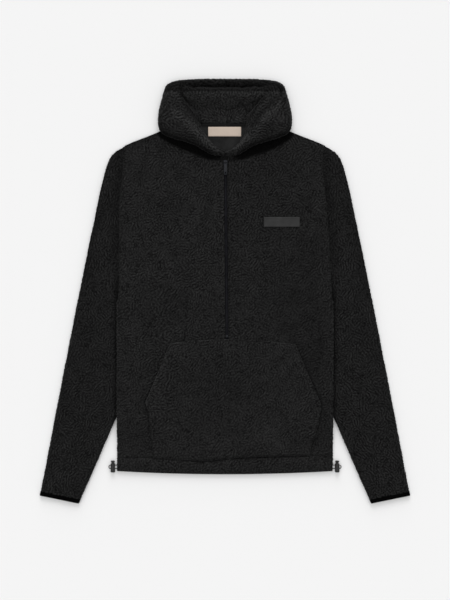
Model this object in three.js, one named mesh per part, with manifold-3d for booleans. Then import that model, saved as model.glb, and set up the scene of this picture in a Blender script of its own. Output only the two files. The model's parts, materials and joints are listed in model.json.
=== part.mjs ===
// A hooded half-zip pullover of sherpa fleece, laid flat on its back. Millimetres, +Z up.
// The origin is on the surface that it lies on, under the middle of its box.
import * as THREE from 'three';
import { mergeVertices } from 'three/addons/utils/BufferGeometryUtils.js';
import Module from 'manifold-3d';

const wasm = await Module();
wasm.setup();

// Cloth
const FLEECE = 3.5;
const SEAM_GAP = 0.3;
const FACING = 1.2;
const LABEL = 0.6;
const PATCH = 1.2;
const BINDING = 3;

// Body, as laid: its two sides fold round at FOLD_X, over the sleeves
const FOLD_X = 227;
const ARMPIT_Y = -18.7;
const RETURN_X = 214.7;
const HEM_SEAM_Y = -349;
const SAG_TOP_Y = -300;
const LEVEL_TOP = 2 * FLEECE + SEAM_GAP;

// The strip of sleeve behind each side lifts the body by SLEEVE_LIFT
const SLEEVE_LIFT = 9.9;
const LIFT = { innerX: 100, outerX: 158, bottomY: -335, lowY: -268, highY: -15, topY: 60 };

// Zip
const ZIP = { topX: 0.84, topY: 286.5, bottomX: 4, bottomY: -98.5, slitHalf: 3.15 };
// The front rises a little to the zip on each side
const ZIP_RISE = { height: 1.2, nearX: 20, farX: 45, startY: -158.5, fullY: -118.5 };
const TAPE = { width: 12, thickness: 0.9, middleGap: 0.3, overrun: 5 };
const CHAIN = { half: 2.3, low: 5, high: 7.4, bottomY: -96.5, topY: 262 };
const SLIDER = { topY: 274, bottomY: 262, plateHalf: 4.2, keelHalf: 2.5, plateLow: 8.8, plateHigh: 10.4 };
const HINGE = { y: 269.5, z: 12.4, half: 2.3, boreRadius: 0.9, knuckleRadius: 1.7 };
const PIN = { radius: 0.6, half: 3.1 };
const EAR = { inner: 2.7, outer: 3.9, halfLength: 1.6, topZ: 13.6 };
const PULL = { half: 3.4, thickness: 1.4, tipY: 243.5, shoulderY: 265.5, corner: 1.4 };
const PULL_HOLE = { y: 247.4, radius: 1.7 };
// How far solids that are joined run into each other, and cutters run past what they cut
const OVERLAP = 0.2;
const CUTTER_REACH = 8;
const ROD_SIDES = 12;

// Cord locks and the drawcord's loops beside the hem. A lock's two parts are turned about its axis, and
// their profiles start at the barrel's lower end.
const TOGGLE = { x: 235.2, bottomY: -380, axisZ: 4.8, sides: 16 };
const BARREL = [
  [0, 0], [3.4, 0], [4.5, 0.5], [4.8, 1.6], [4.8, 17.5], [4.3, 18.5], [3.1, 18.5], [3.1, 2.4], [0, 2.4],
];
const PLUNGER = [
  [0, 5.2], [2.8, 5.2], [2.8, 21.3], [3.9, 21.3], [4.2, 21.9], [4.2, 23.4], [3.1, 24.5], [0, 24.5],
];
const CORD = { radius: 0.9, sides: 8, steps: 40 };
const CORD_SLOT = { low: 6.7, high: 16.3, half: 1.3, pressTravel: 2.5 };

const COLOURS = {
  fleece: 0x1f1f20, facing: 0x262627, binding: 0x0b0b0c, label: 0xc0b0a3, patch: 0x343436,
  tape: 0x14161b, metal: 0x26282c, plastic: 0x101012, cord: 0x161617,
};

function table(names, rows) {
  return rows.map((row) => Object.fromEntries(names.map((name, i) => [name, row[i]])));
}

// Rows of the two body panels, from hem to neck: half widths to each side, and where the neck opening starts
const BODY_ROWS = table(['y', 'left', 'right', 'neck'], [
  [HEM_SEAM_Y, 223.35, 223.35, 0],
  [-310, 223.35, 223.35, 0],
  [-268, 223.35, 223.35, 0],
  [-215, 223.35, 223.35, 0],
  [-160, 223.35, 223.35, 0],
  [ZIP.bottomY, 223.35, 223.35, 0],
  [-60, 223.35, 223.35, 0],
  [ARMPIT_Y, 223.35, 223.35, 0],
  [30, 222, 221.7, 0],
  [80, 221.8, 219.2, 0],
  [130, 221.8, 216, 0],
  [180, 221.6, 212.8, 0],
  [230, 216.5, 207, 0],
  [262, 213.5, 203.5, 0],
  [ZIP.topY, 214, 204.5, 5],
  [304, 211, 211, 38],
  [312, 193.5, 193.5, 52],
  [322, 167.5, 167.5, 80],
  [330, 146.5, 146.5, 107],
  [334.5, 137, 137, 125],
]);
const ARMHOLE_TOP_Y = 304;
// The width of the back's last row, as a share of that of the row below it
const NECK_SHARE = 0.995;

// Columns of a body panel, as shares of the way from the zip to the side
const COLUMNS = [0, 0.07, 0.22, 0.45, 0.58, 0.7, 0.82, 0.93, 1];
const FOLD_STEPS = 4;

const BACK_NECK = table(['x', 'y'], [
  [0, 352.1], [50, 351.6], [85, 349], [115, 344], [126, 340], [137, 334.6],
]);

const HEM_SEAM = table(['x', 'y'], [
  [-FOLD_X, -349.4], [-150, -350.5], [-44, -356.8], [-2, -352.6], [52, -348.4], [166, -344.8],
  [FOLD_X, -347.5],
]);
const HEM_GAP = 0.6;
const HEM_EDGE = { side: -378.4, middle: -384.7 };
const HEM_ROWS = table(['share', 'swell'], [[0, 0.1], [0.3, 1.1], [0.75, 1.1], [1, 0.2]]);

// Rings of the right sleeve, from the cuff up; the last one lies along the armhole
const SLEEVE_RINGS = table(['outerX', 'outerY', 'innerX', 'innerY', 'bowX', 'bowY', 'half'], [
  [387.2, -421.4, 303.3, -438.3, 345.3, -429.8, 4],
  [376.5, -366.6, 281.9, -391, 329.2, -378.8, 4.2],
  [361.5, -288, 257.7, -335, 309.6, -311.5, 4.4],
  [345.2, -203.5, 231.8, -275, 288.5, -239.3, 4.6],
  [333, -141, 210.1, -225, 274, -178, 4.7],
  [320.5, -77, 190.7, -180, 262, -140, 4.7],
  [308.5, -16, 173, -149, 262, -98, 4.7],
  [298.5, 33, 167, -126, 275, -80, 4.7],
  [285.2, 98.9, 170, -106, 285, -80, 4.6],
  [274, 150, 178, -88, 282, -75, 4.5],
  [264, 199.7, 189, -70, 272, -62, 4.4],
  [256, 233.3, 202, -52, 262, -45, 4.2],
  [247, 266.9, 214, -36, 248, -20, 4],
  [234, 288.5, 219.5, -27, 238, -12, 3.8],
]);
const ARMHOLE_HALF = LEVEL_TOP / 2;
const RING_ENDS = [0, 0.3, 1.2];
const CUFF = { outer: [388.7, -428.6], inner: [306.4, -445.4], half: 3.5, gap: 0.3 };

// Sections of the right half of the hood, from the top of the zip round to the crown.
// edge: the outline; fold: radius of its turn; rim: the free edge of the opening; seam: the sewn edge below
const HOOD = table(
  ['edgeX', 'edgeY', 'fold', 'rimX', 'rimY', 'rimZ', 'crest', 'seamX', 'seamY', 'seamZ'],
  [
    [7, 281.5, 2.2, 4.6, 289, 16, 0, 5.2, 285, 11],
    [31, 286, 3, 24.6, 301.4, 17, 0.6, 28, 293, 10.4],
    [57, 301.5, 4.2, 44, 324, 19, 1.5, 53.5, 308, 9.8],
    [85, 311.5, 5.2, 51.5, 341, 20.5, 2.4, 81.5, 318.5, 9.6],
    [112, 319.8, 6.2, 57, 356.5, 21.5, 3, 108, 326.5, 9.6],
    [130, 327.8, 6.8, 62, 368, 22, 3.2, 125, 332.5, 9.6],
    [138.6, 339, 7.2, 67, 378, 22, 3.2, 131, 342, 7.4],
    [140.7, 355, 7.8, 72, 386, 22, 3, 117, 346.5, 3.4],
    [139.2, 374, 8.2, 77, 394, 22, 2.6, 87, 350.5, 1.75],
    [135.6, 392, 8.4, 81, 401, 21.6, 2.2, 52, 352.6, 1.75],
    [131.6, 407, 8.2, 84.5, 407.5, 21.2, 1.6, 25, 352.9, 1.75],
    [128, 419.5, 7.8, 86.5, 413, 21, 0.8, 0.15, 352.9, 1.75],
    [122.6, 430.7, 7.4, 84, 417, 21, -0.6, 0.15, 366, 1.75],
    [107.1, 439.1, 7, 74, 418, 21, -1.8, 0.15, 380, 1.75],
    [80.6, 443.3, 6.8, 56, 418, 21, -2.6, 0.15, 396, 1.75],
    [42, 444.8, 6.6, 30, 418, 21, -3, 0.15, 414, 1.75],
    [0.15, 445.4, 6.6, 0.15, 418, 21, -3, 0.15, 433, 1.75],
  ],
);
// The hood's turn at its outline, as angles up from the level
const HOOD_TURN = [60, 20, -20, -60];

const POCKET = table(['x', 'y'], [
  [-149.3, -345], [-157, -279], [-158.8, -262.3], [-166.1, -232.1], [-113.6, -109], [-60, -103], [4, -100.6],
  [80, -103.5], [146.8, -111.1], [199.3, -232.9], [200.3, -245.5], [195.1, -279.1], [180.4, -325.3],
  [178.3, -342],
]);
const PATCH_BOX = { left: 81.3, right: 156.5, bottom: 134.4, top: 155.2, corner: 1.5 };
const LABEL_BOX = { left: -35.3, right: 33.8, bottom: 324.2, top: 344.2, corner: 0.8 };
const FACING_CUT = { half: 104, columns: 12, overNeck: 2, underSeam: 0.8 };
const OUTLINE_CUTTER = { low: -20, depth: 60 };

const CORD_ROUTE = table(['x', 'y', 'z'], [
  [227.3, -364.9, 4.8], [230.5, -364.9, 4.8], [234, -364.9, 4.8], [237.5, -364.9, 4.8], [239.9, -364.9, 4.8],
  [241.7, -365.38, 4.8], [243.02, -366.7, 4.8], [243.5, -368.5, 4.8], [243.02, -370.3, 4.8],
  [241.7, -371.62, 4.8], [239.9, -372.1, 4.8], [237.5, -372.1, 4.8], [234, -372.1, 4.8], [230.5, -372.1, 4.8],
  [227.3, -372.1, 4.8],
]);

const point = (x, y, z) => new THREE.Vector3(x, y, z);
const rise = (from, to, at) => THREE.MathUtils.smoothstep(at, from, to);

// A linear look-up in a table whose rows are sorted by one column
function lookUp(rows, by, value, at) {
  const next = rows.findIndex((row) => row[by] >= at);
  if (next === 0) return rows[0][value];
  if (next < 0) return rows[rows.length - 1][value];
  const [a, b] = [rows[next - 1], rows[next]];
  return THREE.MathUtils.mapLinear(at, a[by], b[by], a[value], b[value]);
}

function signedVolume(points, faces) {
  let six = 0;
  for (let f = 0; f < faces.length; f += 3) {
    const [a, b, c] = [points[faces[f]], points[faces[f + 1]], points[faces[f + 2]]];
    six += a.dot(b.clone().cross(c));
  }
  return six / 6;
}

function geometryOf(points, faces) {
  const outward = signedVolume(points, faces) > 0 ? faces : faces.slice().reverse();
  const geometry = new THREE.BufferGeometry();
  const places = points.flatMap((p) => [p.x, p.y, p.z]);
  geometry.setAttribute('position', new THREE.Float32BufferAttribute(places, 3));
  geometry.setIndex(outward);
  return geometry;
}

// A closed wall between two grids of points. Cells that present() refuses are left out, and around joins
// the last column to the first.
function wall(upper, lower, { present = () => true, around = false } = {}) {
  const rows = upper.length;
  const columns = upper[0].length;
  const cells = around ? columns : columns - 1;
  const at = (skin) => (j, i) => (skin * rows + j) * columns + (i % columns);
  const [top, under] = [at(0), at(1)];
  const inGrid = (j, i) => j >= 0 && j < rows - 1 && (around || (i >= 0 && i < cells));
  const has = (j, i) => inGrid(j, i) && present(j, (i + cells) % cells);
  const faces = [];
  const quad = (a, b, c, d) => faces.push(a, b, c, a, c, d);
  for (let j = 0; j < rows - 1; j += 1) {
    for (let i = 0; i < cells; i += 1) {
      if (!has(j, i)) continue;
      quad(top(j, i), top(j, i + 1), top(j + 1, i + 1), top(j + 1, i));
      quad(under(j, i), under(j + 1, i), under(j + 1, i + 1), under(j, i + 1));
      if (!has(j - 1, i)) quad(under(j, i), under(j, i + 1), top(j, i + 1), top(j, i));
      if (!has(j + 1, i)) quad(top(j + 1, i), top(j + 1, i + 1), under(j + 1, i + 1), under(j + 1, i));
      if (!has(j, i - 1)) quad(top(j, i), top(j + 1, i), under(j + 1, i), under(j, i));
      if (!has(j, i + 1)) quad(under(j, i + 1), under(j + 1, i + 1), top(j + 1, i + 1), top(j, i + 1));
    }
  }
  return usedOnly([...upper.flat(), ...lower.flat()], faces);
}

function usedOnly(points, faces) {
  const renamed = new Map();
  const kept = [];
  for (const index of faces) {
    if (renamed.has(index)) continue;
    renamed.set(index, kept.length);
    kept.push(points[index]);
  }
  return geometryOf(kept, faces.map((index) => renamed.get(index)));
}

// Both faces of a cloth whose middle surface is a grid of points
function clothSkins(middle, thickness) {
  const rows = middle.length;
  const columns = middle[0].length;
  const across = (j, i) => middle[j][Math.min(i + 1, columns - 1)].clone().sub(middle[j][Math.max(i - 1, 0)]);
  const up = (j, i) => middle[Math.min(j + 1, rows - 1)][i].clone().sub(middle[Math.max(j - 1, 0)][i]);
  const offset = (side) => middle.map((row, j) => row.map((p, i) => {
    const normal = across(j, i).cross(up(j, i)).normalize();
    const moved = p.clone().addScaledVector(normal, (side * thickness) / 2);
    moved.z = Math.max(moved.z, 0);
    return moved;
  }));
  return [offset(1), offset(-1)];
}

function raised(grid, dz) {
  return grid.map((row) => row.map((p) => point(p.x, p.y, p.z + dz)));
}

function toManifold(geometry) {
  const bare = geometry.clone();
  bare.deleteAttribute('normal');
  bare.deleteAttribute('uv');
  const merged = mergeVertices(bare, 1e-4);
  const vertProperties = new Float32Array(merged.attributes.position.array);
  const triVerts = new Uint32Array(merged.index.array);
  return new wasm.Manifold(new wasm.Mesh({ numProp: 3, vertProperties, triVerts }));
}

function fromManifold(solid) {
  const mesh = solid.getMesh();
  const geometry = new THREE.BufferGeometry();
  geometry.setAttribute('position', new THREE.BufferAttribute(mesh.vertProperties, 3));
  geometry.setIndex(new THREE.BufferAttribute(mesh.triVerts, 1));
  return geometry;
}

// How far a point of the body is lifted by the strip of sleeve behind it
function sleeveLift(x, y) {
  const nearSide = rise(LIFT.innerX, LIFT.outerX, Math.abs(x));
  const low = rise(LIFT.bottomY, LIFT.lowY, y);
  const high = 1 - rise(LIFT.highY, LIFT.topY, y);
  return SLEEVE_LIFT * nearSide * low * high;
}

const zipX = (y) => THREE.MathUtils.mapLinear(y, ZIP.bottomY, ZIP.topY, ZIP.bottomX, ZIP.topX);

function zipLift(x, y) {
  const aside = Math.abs(x - zipX(y));
  const { height, nearX, farX, startY, fullY } = ZIP_RISE;
  return height * (1 - rise(nearX, farX, aside)) * rise(startY, fullY, y);
}

// One row of a body panel, left to right
function rowAcross(row) {
  const zip = zipX(row.y);
  const half = ZIP.slitHalf;
  const leftInner = row.neck ? -row.neck : zip - half;
  const rightInner = row.neck ? row.neck : zip + half;
  const left = COLUMNS.map((share) => THREE.MathUtils.lerp(leftInner, -row.left, share)).reverse();
  const right = COLUMNS.map((share) => THREE.MathUtils.lerp(rightInner, row.right, share));
  return [...left, ...right];
}

function rowY(row, x) {
  const sag = lookUp(HEM_SEAM, 'x', 'y', x) + SEAM_GAP / 2 - HEM_SEAM_Y;
  return row.y + sag * (1 - rise(HEM_SEAM_Y, SAG_TOP_Y, row.y));
}

// The turn of the cloth round the side fold, from the front's level down to the return on the back's level
function sideTurn(side, y, lift) {
  const radius = (LEVEL_TOP - FLEECE) / 2;
  const centreX = FOLD_X - FLEECE / 2 - radius;
  const centreZ = lift + FLEECE / 2 + radius;
  const turn = [];
  for (let step = 1; step <= FOLD_STEPS; step += 1) {
    const angle = Math.PI / 2 - (Math.PI * step) / FOLD_STEPS;
    turn.push(point(side * (centreX + radius * Math.cos(angle)), y, centreZ + radius * Math.sin(angle)));
  }
  turn.push(point(side * RETURN_X, y, lift + FLEECE / 2));
  return turn;
}

function frontMiddle() {
  return BODY_ROWS.map((row) => {
    const across = rowAcross(row).map((x) => {
      const y = rowY(row, x);
      return point(x, y, sleeveLift(x, y) + zipLift(x, y) + LEVEL_TOP - FLEECE / 2);
    });
    const sideY = rowY(row, FOLD_X);
    const lift = sleeveLift(FOLD_X, sideY);
    return [...sideTurn(-1, sideY, lift).reverse(), ...across, ...sideTurn(1, sideY, lift)];
  });
}

const TURN_COLUMNS = FOLD_STEPS + 1;
const ZIP_COLUMN = TURN_COLUMNS + COLUMNS.length - 1;
const ARMPIT_ROW = BODY_ROWS.findIndex((row) => row.y === ARMPIT_Y);
const ZIP_ROW = BODY_ROWS.findIndex((row) => row.y === ZIP.bottomY);

function frontPresent(j, i) {
  const turned = i < TURN_COLUMNS || i >= TURN_COLUMNS + 2 * COLUMNS.length - 1;
  if (turned) return j < ARMPIT_ROW;
  return !(i === ZIP_COLUMN && j >= ZIP_ROW);
}

const [frontTop, frontUnder] = clothSkins(frontMiddle(), FLEECE);

function frontPanel() {
  return wall(frontTop, frontUnder, { present: frontPresent });
}

// The back panel has the front's rows and columns, so that the two lie level on each other
function backGrid(z) {
  const rows = BODY_ROWS.map((row) => {
    const narrowed = row.y <= ARMPIT_Y;
    return rowAcross({ ...row, neck: 0 }).map((x) => {
      const edge = RETURN_X - SEAM_GAP;
      const placed = narrowed ? THREE.MathUtils.clamp(x, -edge, edge) : x;
      const y = rowY(row, placed);
      return point(placed, y, sleeveLift(placed, y) + z);
    });
  });
  const last = rows[rows.length - 1];
  rows.push(last.map((p) => point(p.x * NECK_SHARE, lookUp(BACK_NECK, 'x', 'y', Math.abs(p.x)), z)));
  return rows;
}

function backPanel() {
  return wall(backGrid(FLEECE), backGrid(0));
}

// What lies on a panel: a slab moved up from the panel's own points, cut to an outline
function onPanel(grid, present, thickness, outline) {
  const slab = toManifold(wall(raised(grid, SEAM_GAP + thickness), raised(grid, SEAM_GAP), { present }));
  const { low, depth } = OUTLINE_CUTTER;
  const prism = new THREE.ExtrudeGeometry(outline, { depth, bevelEnabled: false, curveSegments: 4 });
  prism.translate(0, 0, low);
  return fromManifold(slab.intersect(toManifold(prism)));
}

function polygon(rows) {
  return new THREE.Shape(rows.map((row) => new THREE.Vector2(row.x, row.y)));
}

function roundedBox({ left, right, bottom, top, corner }) {
  const shape = new THREE.Shape();
  const corners = [[right - corner, bottom + corner, -90], [right - corner, top - corner, 0],
    [left + corner, top - corner, 90], [left + corner, bottom + corner, 180]];
  for (const [x, y, start] of corners) {
    const from = THREE.MathUtils.degToRad(start);
    shape.absarc(x, y, corner, from, from + Math.PI / 2, false);
  }
  return shape;
}

const flatPart = (grid) => grid.map((row) => row.slice(TURN_COLUMNS, -TURN_COLUMNS));

function pocket() {
  return onPanel(flatPart(frontTop), () => true, FLEECE, polygon(POCKET));
}

function chestPatch() {
  return onPanel(flatPart(frontTop), (j, i) => i !== COLUMNS.length - 1, PATCH, roundedBox(PATCH_BOX));
}

function facingOutline() {
  const { half, columns, overNeck, underSeam } = FACING_CUT;
  const neck = BODY_ROWS.filter((row) => row.neck);
  const xs = Array.from({ length: columns + 1 }, (_, i) => -half + (2 * half * i) / columns);
  const low = xs.map((x) => new THREE.Vector2(x, lookUp(neck, 'neck', 'y', Math.abs(x)) + overNeck));
  const high = xs.map((x) => new THREE.Vector2(x, lookUp(BACK_NECK, 'x', 'y', Math.abs(x)) - underSeam));
  return new THREE.Shape([...low, ...high.reverse()]);
}

function backNeckFacing() {
  return onPanel(backGrid(FLEECE), () => true, FACING, facingOutline());
}

function neckLabel() {
  return onPanel(backGrid(FLEECE + FACING + SEAM_GAP), () => true, LABEL, roundedBox(LABEL_BOX));
}

// The hem band goes on from the front and round the side folds
function hemY(share, x) {
  const seam = lookUp(HEM_SEAM, 'x', 'y', x) - HEM_GAP;
  const bow = 1 - (x / FOLD_X) ** 2;
  const edge = THREE.MathUtils.lerp(HEM_EDGE.side, HEM_EDGE.middle, bow);
  return THREE.MathUtils.lerp(seam, edge, share);
}

function hemFront() {
  const middle = HEM_ROWS.slice().reverse().map(({ share, swell }) => {
    const z = LEVEL_TOP - FLEECE / 2 + swell;
    const across = rowAcross(BODY_ROWS[0]).map((x) => point(x, hemY(share, x), z));
    const sideY = hemY(share, FOLD_X);
    return [...sideTurn(-1, sideY, 0).reverse(), ...across, ...sideTurn(1, sideY, 0)];
  });
  return wall(...clothSkins(middle, FLEECE));
}

function hemBack() {
  const edge = RETURN_X - SEAM_GAP;
  const rows = (z) => HEM_ROWS.slice().reverse().map(({ share }) => rowAcross(BODY_ROWS[0]).map((x) => {
    const placed = THREE.MathUtils.clamp(x, -edge, edge);
    return point(placed, hemY(share, placed), z);
  }));
  return wall(rows(FLEECE), rows(0));
}

// The course of a sleeve ring across the flattened sleeve
function ringCourse(ring) {
  const curve = new THREE.QuadraticBezierCurve3(
    point(ring.outerX, ring.outerY, 0),
    point(ring.bowX, ring.bowY, 0),
    point(ring.innerX, ring.innerY, 0),
  );
  return (share) => curve.getPointAt(share);
}

function armholeCourse(side) {
  const rows = BODY_ROWS.filter((row) => row.y >= ARMPIT_Y && row.y <= ARMHOLE_TOP_Y);
  return (share) => {
    const y = THREE.MathUtils.lerp(ARMHOLE_TOP_Y, ARMPIT_Y, share);
    return point(lookUp(rows, 'y', side, y) + SEAM_GAP, y, 0);
  };
}

const ARMHOLE_SHARES = BODY_ROWS.map((row) => row.y)
  .filter((y) => y > ARMPIT_Y && y < ARMHOLE_TOP_Y)
  .map((y) => (ARMHOLE_TOP_Y - y) / (ARMHOLE_TOP_Y - ARMPIT_Y))
  .reverse();

// A flattened loop on a course: its two ends are rounded, its underside lies at z = 0. The wall's inner
// loop starts inset from the outer one's ends, and both have the same places between them.
function flatLoop({ course, half, between }, inset) {
  const length = courseLength(course);
  const inner = half - inset;
  const ends = RING_ENDS.map((step) => (inset + step * inner) / length);
  const clear = (RING_ENDS[RING_ENDS.length - 1] * half + FLEECE) / length;
  const last = ARMHOLE_SHARES.length - 1;
  const even = ARMHOLE_SHARES.map((_, i) => THREE.MathUtils.lerp(clear, 1 - clear, i / last));
  const shares = [...ends, ...(between ?? even), ...ends.slice().reverse().map((share) => 1 - share)];
  const height = (share) => {
    const fromEnd = Math.min(share, 1 - share) * length - inset;
    const out = THREE.MathUtils.clamp(1 - fromEnd / inner, 0, 1);
    return inner * Math.sqrt(1 - out * out);
  };
  const place = (share, z) => {
    const p = course(share);
    return point(p.x, p.y, z);
  };
  const above = shares.map((share) => place(share, half + height(share)));
  const below = shares.slice(1, -1).reverse().map((share) => place(share, half - height(share)));
  return [...above, ...below];
}

function courseLength(course) {
  const steps = 32;
  let sum = 0;
  for (let i = 0; i < steps; i += 1) sum += course(i / steps).distanceTo(course((i + 1) / steps));
  return sum;
}

function mirrored(grid, side) {
  return grid.map((row) => row.map((p) => point(side * p.x, p.y, p.z)));
}

function tube(courses, thickness, side) {
  const loops = (inset) => courses.map((ring) => flatLoop(ring, inset));
  return wall(mirrored(loops(0), side), mirrored(loops(thickness), side), { around: true });
}

function sleeve(side) {
  const courses = SLEEVE_RINGS.map((ring) => ({ course: ringCourse(ring), half: ring.half }));
  const armhole = armholeCourse(side < 0 ? 'left' : 'right');
  courses.push({ course: armhole, half: ARMHOLE_HALF, between: ARMHOLE_SHARES });
  return tube(courses, FLEECE, side);
}

function cuffBinding(side) {
  const first = SLEEVE_RINGS[0];
  const start = [new THREE.Vector2(first.outerX, first.outerY), new THREE.Vector2(first.innerX, first.innerY)];
  const end = [new THREE.Vector2(...CUFF.outer), new THREE.Vector2(...CUFF.inner)];
  const share = CUFF.gap / start[0].distanceTo(end[0]);
  const line = ([a, b]) => (at) => {
    const p = a.clone().lerp(b, at);
    return point(p.x, p.y, 0);
  };
  const near = start.map((p, i) => p.clone().lerp(end[i], share));
  const courses = [end, near].map((pair) => ({ course: line(pair), half: CUFF.half }));
  return tube(courses, BINDING, side);
}

// One section of the hood, from the rim over the fold to the sewn edge
function hoodSection(row) {
  const out = new THREE.Vector2(row.edgeX - row.rimX, row.edgeY - row.rimY).normalize();
  const foldX = row.edgeX - out.x * (FLEECE / 2 + row.fold);
  const foldY = row.edgeY - out.y * (FLEECE / 2 + row.fold);
  const topZ = row.seamZ + 2 * row.fold;
  const turn = HOOD_TURN.map((degrees) => {
    const angle = THREE.MathUtils.degToRad(degrees);
    const reach = row.fold * Math.cos(angle);
    return point(foldX + out.x * reach, foldY + out.y * reach, row.seamZ + row.fold * (1 + Math.sin(angle)));
  });
  const crestX = THREE.MathUtils.lerp(row.rimX, foldX, 0.5);
  const crestY = THREE.MathUtils.lerp(row.rimY, foldY, 0.5);
  const underX = THREE.MathUtils.lerp(foldX, row.seamX, 0.5);
  const underY = THREE.MathUtils.lerp(foldY, row.seamY, 0.5);
  return [
    point(row.rimX, row.rimY, row.rimZ),
    point(crestX, crestY, (row.rimZ + topZ) / 2 + row.crest),
    point(foldX, foldY, topZ),
    ...turn,
    point(foldX, foldY, row.seamZ),
    point(underX, underY, row.seamZ),
    point(row.seamX, row.seamY, row.seamZ),
  ];
}

function hood(side) {
  const middle = HOOD.map(hoodSection);
  return wall(...clothSkins(mirrored(middle, side), FLEECE));
}

// A straight strip between two heights, along the zip
function zipStrip(from, to, bottomY, topY, low, high) {
  const grid = (z) => [bottomY, topY].map((y) => [from, to].map((aside) => point(zipX(y) + aside, y, z)));
  return wall(grid(high), grid(low));
}

function zipTape(side) {
  const edges = [side * TAPE.middleGap / 2, side * TAPE.width].sort((a, b) => a - b);
  const low = FLEECE + SEAM_GAP;
  return zipStrip(...edges, ZIP.bottomY - TAPE.overrun, ZIP.topY, low, low + TAPE.thickness);
}

function zipChain() {
  return zipStrip(-CHAIN.half, CHAIN.half, CHAIN.bottomY, CHAIN.topY, CHAIN.low, CHAIN.high);
}

function box(x0, x1, y0, y1, z0, z1) {
  const geometry = new THREE.BoxGeometry(x1 - x0, y1 - y0, z1 - z0);
  geometry.translate((x0 + x1) / 2, (y0 + y1) / 2, (z0 + z1) / 2);
  return toManifold(geometry);
}

function rodAlongX(radius, half, y, z) {
  const geometry = new THREE.CylinderGeometry(radius, radius, 2 * half, ROD_SIDES);
  geometry.rotateZ(Math.PI / 2);
  geometry.translate(0, y, z);
  return toManifold(geometry);
}

// The slider lies over the chain, with two ears and a pin for the pull. Both are made about x = 0, and
// moved over to the zip.
function zipSlider() {
  const { topY, bottomY, plateHalf, keelHalf, plateLow, plateHigh } = SLIDER;
  const plate = box(-plateHalf, plateHalf, bottomY, topY, plateLow, plateHigh);
  const keel = box(-keelHalf, keelHalf, bottomY, topY, CHAIN.high + SEAM_GAP, plateLow + OVERLAP);
  const ear = (side) => {
    const [x0, x1] = [side * EAR.inner, side * EAR.outer].sort((a, b) => a - b);
    return box(x0, x1, HINGE.y - EAR.halfLength, HINGE.y + EAR.halfLength, plateHigh - OVERLAP, EAR.topZ);
  };
  const pin = rodAlongX(PIN.radius, PIN.half, HINGE.y, HINGE.z);
  return fromManifold(plate.add(keel).add(ear(-1)).add(ear(1)).add(pin));
}

function zipPull() {
  const low = HINGE.z - HINGE.knuckleRadius;
  const neck = box(-HINGE.half, HINGE.half, PULL.shoulderY - 1, HINGE.y, low, low + PULL.thickness);
  const tab = new THREE.ExtrudeGeometry(
    roundedBox({ ...PULL, left: -PULL.half, right: PULL.half, bottom: PULL.tipY, top: PULL.shoulderY }),
    { depth: PULL.thickness, bevelEnabled: false, curveSegments: 4 },
  );
  tab.translate(0, 0, low);
  const knuckle = rodAlongX(HINGE.knuckleRadius, HINGE.half, HINGE.y, HINGE.z);
  const bore = rodAlongX(HINGE.boreRadius, CUTTER_REACH, HINGE.y, HINGE.z);
  const hole = new THREE.CylinderGeometry(PULL_HOLE.radius, PULL_HOLE.radius, CUTTER_REACH, ROD_SIDES);
  hole.rotateX(Math.PI / 2);
  hole.translate(0, PULL_HOLE.y, low);
  return fromManifold(toManifold(tab).add(neck).add(knuckle).subtract(bore).subtract(toManifold(hole)));
}

// One turned part of a cord lock, with the slot through which the cord's two runs pass
function turnedPart(profile, slotHigh) {
  const lathe = new THREE.LatheGeometry(profile.map(([r, y]) => new THREE.Vector2(r, y)), TOGGLE.sides);
  const slot = box(-CUTTER_REACH, CUTTER_REACH, CORD_SLOT.low, slotHigh, -CORD_SLOT.half, CORD_SLOT.half);
  return fromManifold(toManifold(lathe).subtract(slot));
}

function cordLoop(side) {
  const path = new THREE.CatmullRomCurve3(CORD_ROUTE.map((p) => point(side * p.x, p.y, p.z)));
  const section = new THREE.Shape();
  section.moveTo(CORD.radius, 0);
  for (let i = 1; i < CORD.sides; i += 1) {
    const angle = (2 * Math.PI * i) / CORD.sides;
    section.lineTo(CORD.radius * Math.cos(angle), CORD.radius * Math.sin(angle));
  }
  section.closePath();
  return new THREE.ExtrudeGeometry(section, { steps: CORD.steps, extrudePath: path, bevelEnabled: false });
}

const group = new THREE.Group();

function add(name, geometry, colour, roughness = 0.95, metalness = 0) {
  const material = new THREE.MeshStandardMaterial({ color: COLOURS[colour], roughness, metalness });
  const mesh = new THREE.Mesh(geometry, material);
  mesh.name = name;
  group.add(mesh);
  return mesh;
}

add('back_panel', backPanel(), 'fleece');
add('front_panel', frontPanel(), 'fleece');
add('hem_back', hemBack(), 'fleece');
add('hem_front', hemFront(), 'fleece');
add('pocket', pocket(), 'fleece');
add('back_neck_facing', backNeckFacing(), 'facing');
add('neck_label', neckLabel(), 'label', 0.8);
add('chest_patch', chestPatch(), 'patch', 0.5);
add('zip_chain', zipChain(), 'tape', 0.6);
for (const [name, side] of [['left', -1], ['right', 1]]) {
  add(`sleeve_${name}`, sleeve(side), 'fleece');
  add(`cuff_binding_${name}`, cuffBinding(side), 'binding', 0.8);
  add(`hood_${name}`, hood(side), 'fleece');
  add(`zip_tape_${name}`, zipTape(side), 'tape');
  add(`cord_${name}`, cordLoop(side), 'cord', 0.8);
  const lock = {
    toggle: turnedPart(BARREL, CORD_SLOT.high),
    plunger: turnedPart(PLUNGER, CORD_SLOT.high + CORD_SLOT.pressTravel),
  };
  for (const [part, geometry] of Object.entries(lock)) {
    const turned = add(`${part}_${name}`, geometry, 'plastic', 0.5);
    turned.position.set(side * TOGGLE.x, TOGGLE.bottomY, TOGGLE.axisZ);
  }
}
for (const [name, geometry] of [['zip_slider', zipSlider()], ['zip_pull', zipPull()]]) {
  add(name, geometry, 'metal', 0.45, 0.8).position.x = zipX(HINGE.y);
}

export default group;
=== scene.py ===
"""A sherpa fleece pullover laid flat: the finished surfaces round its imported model.

Sizes here are in millimetres, in the model's own frame, and MM turns them into metres.
"""

import json
import math

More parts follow.
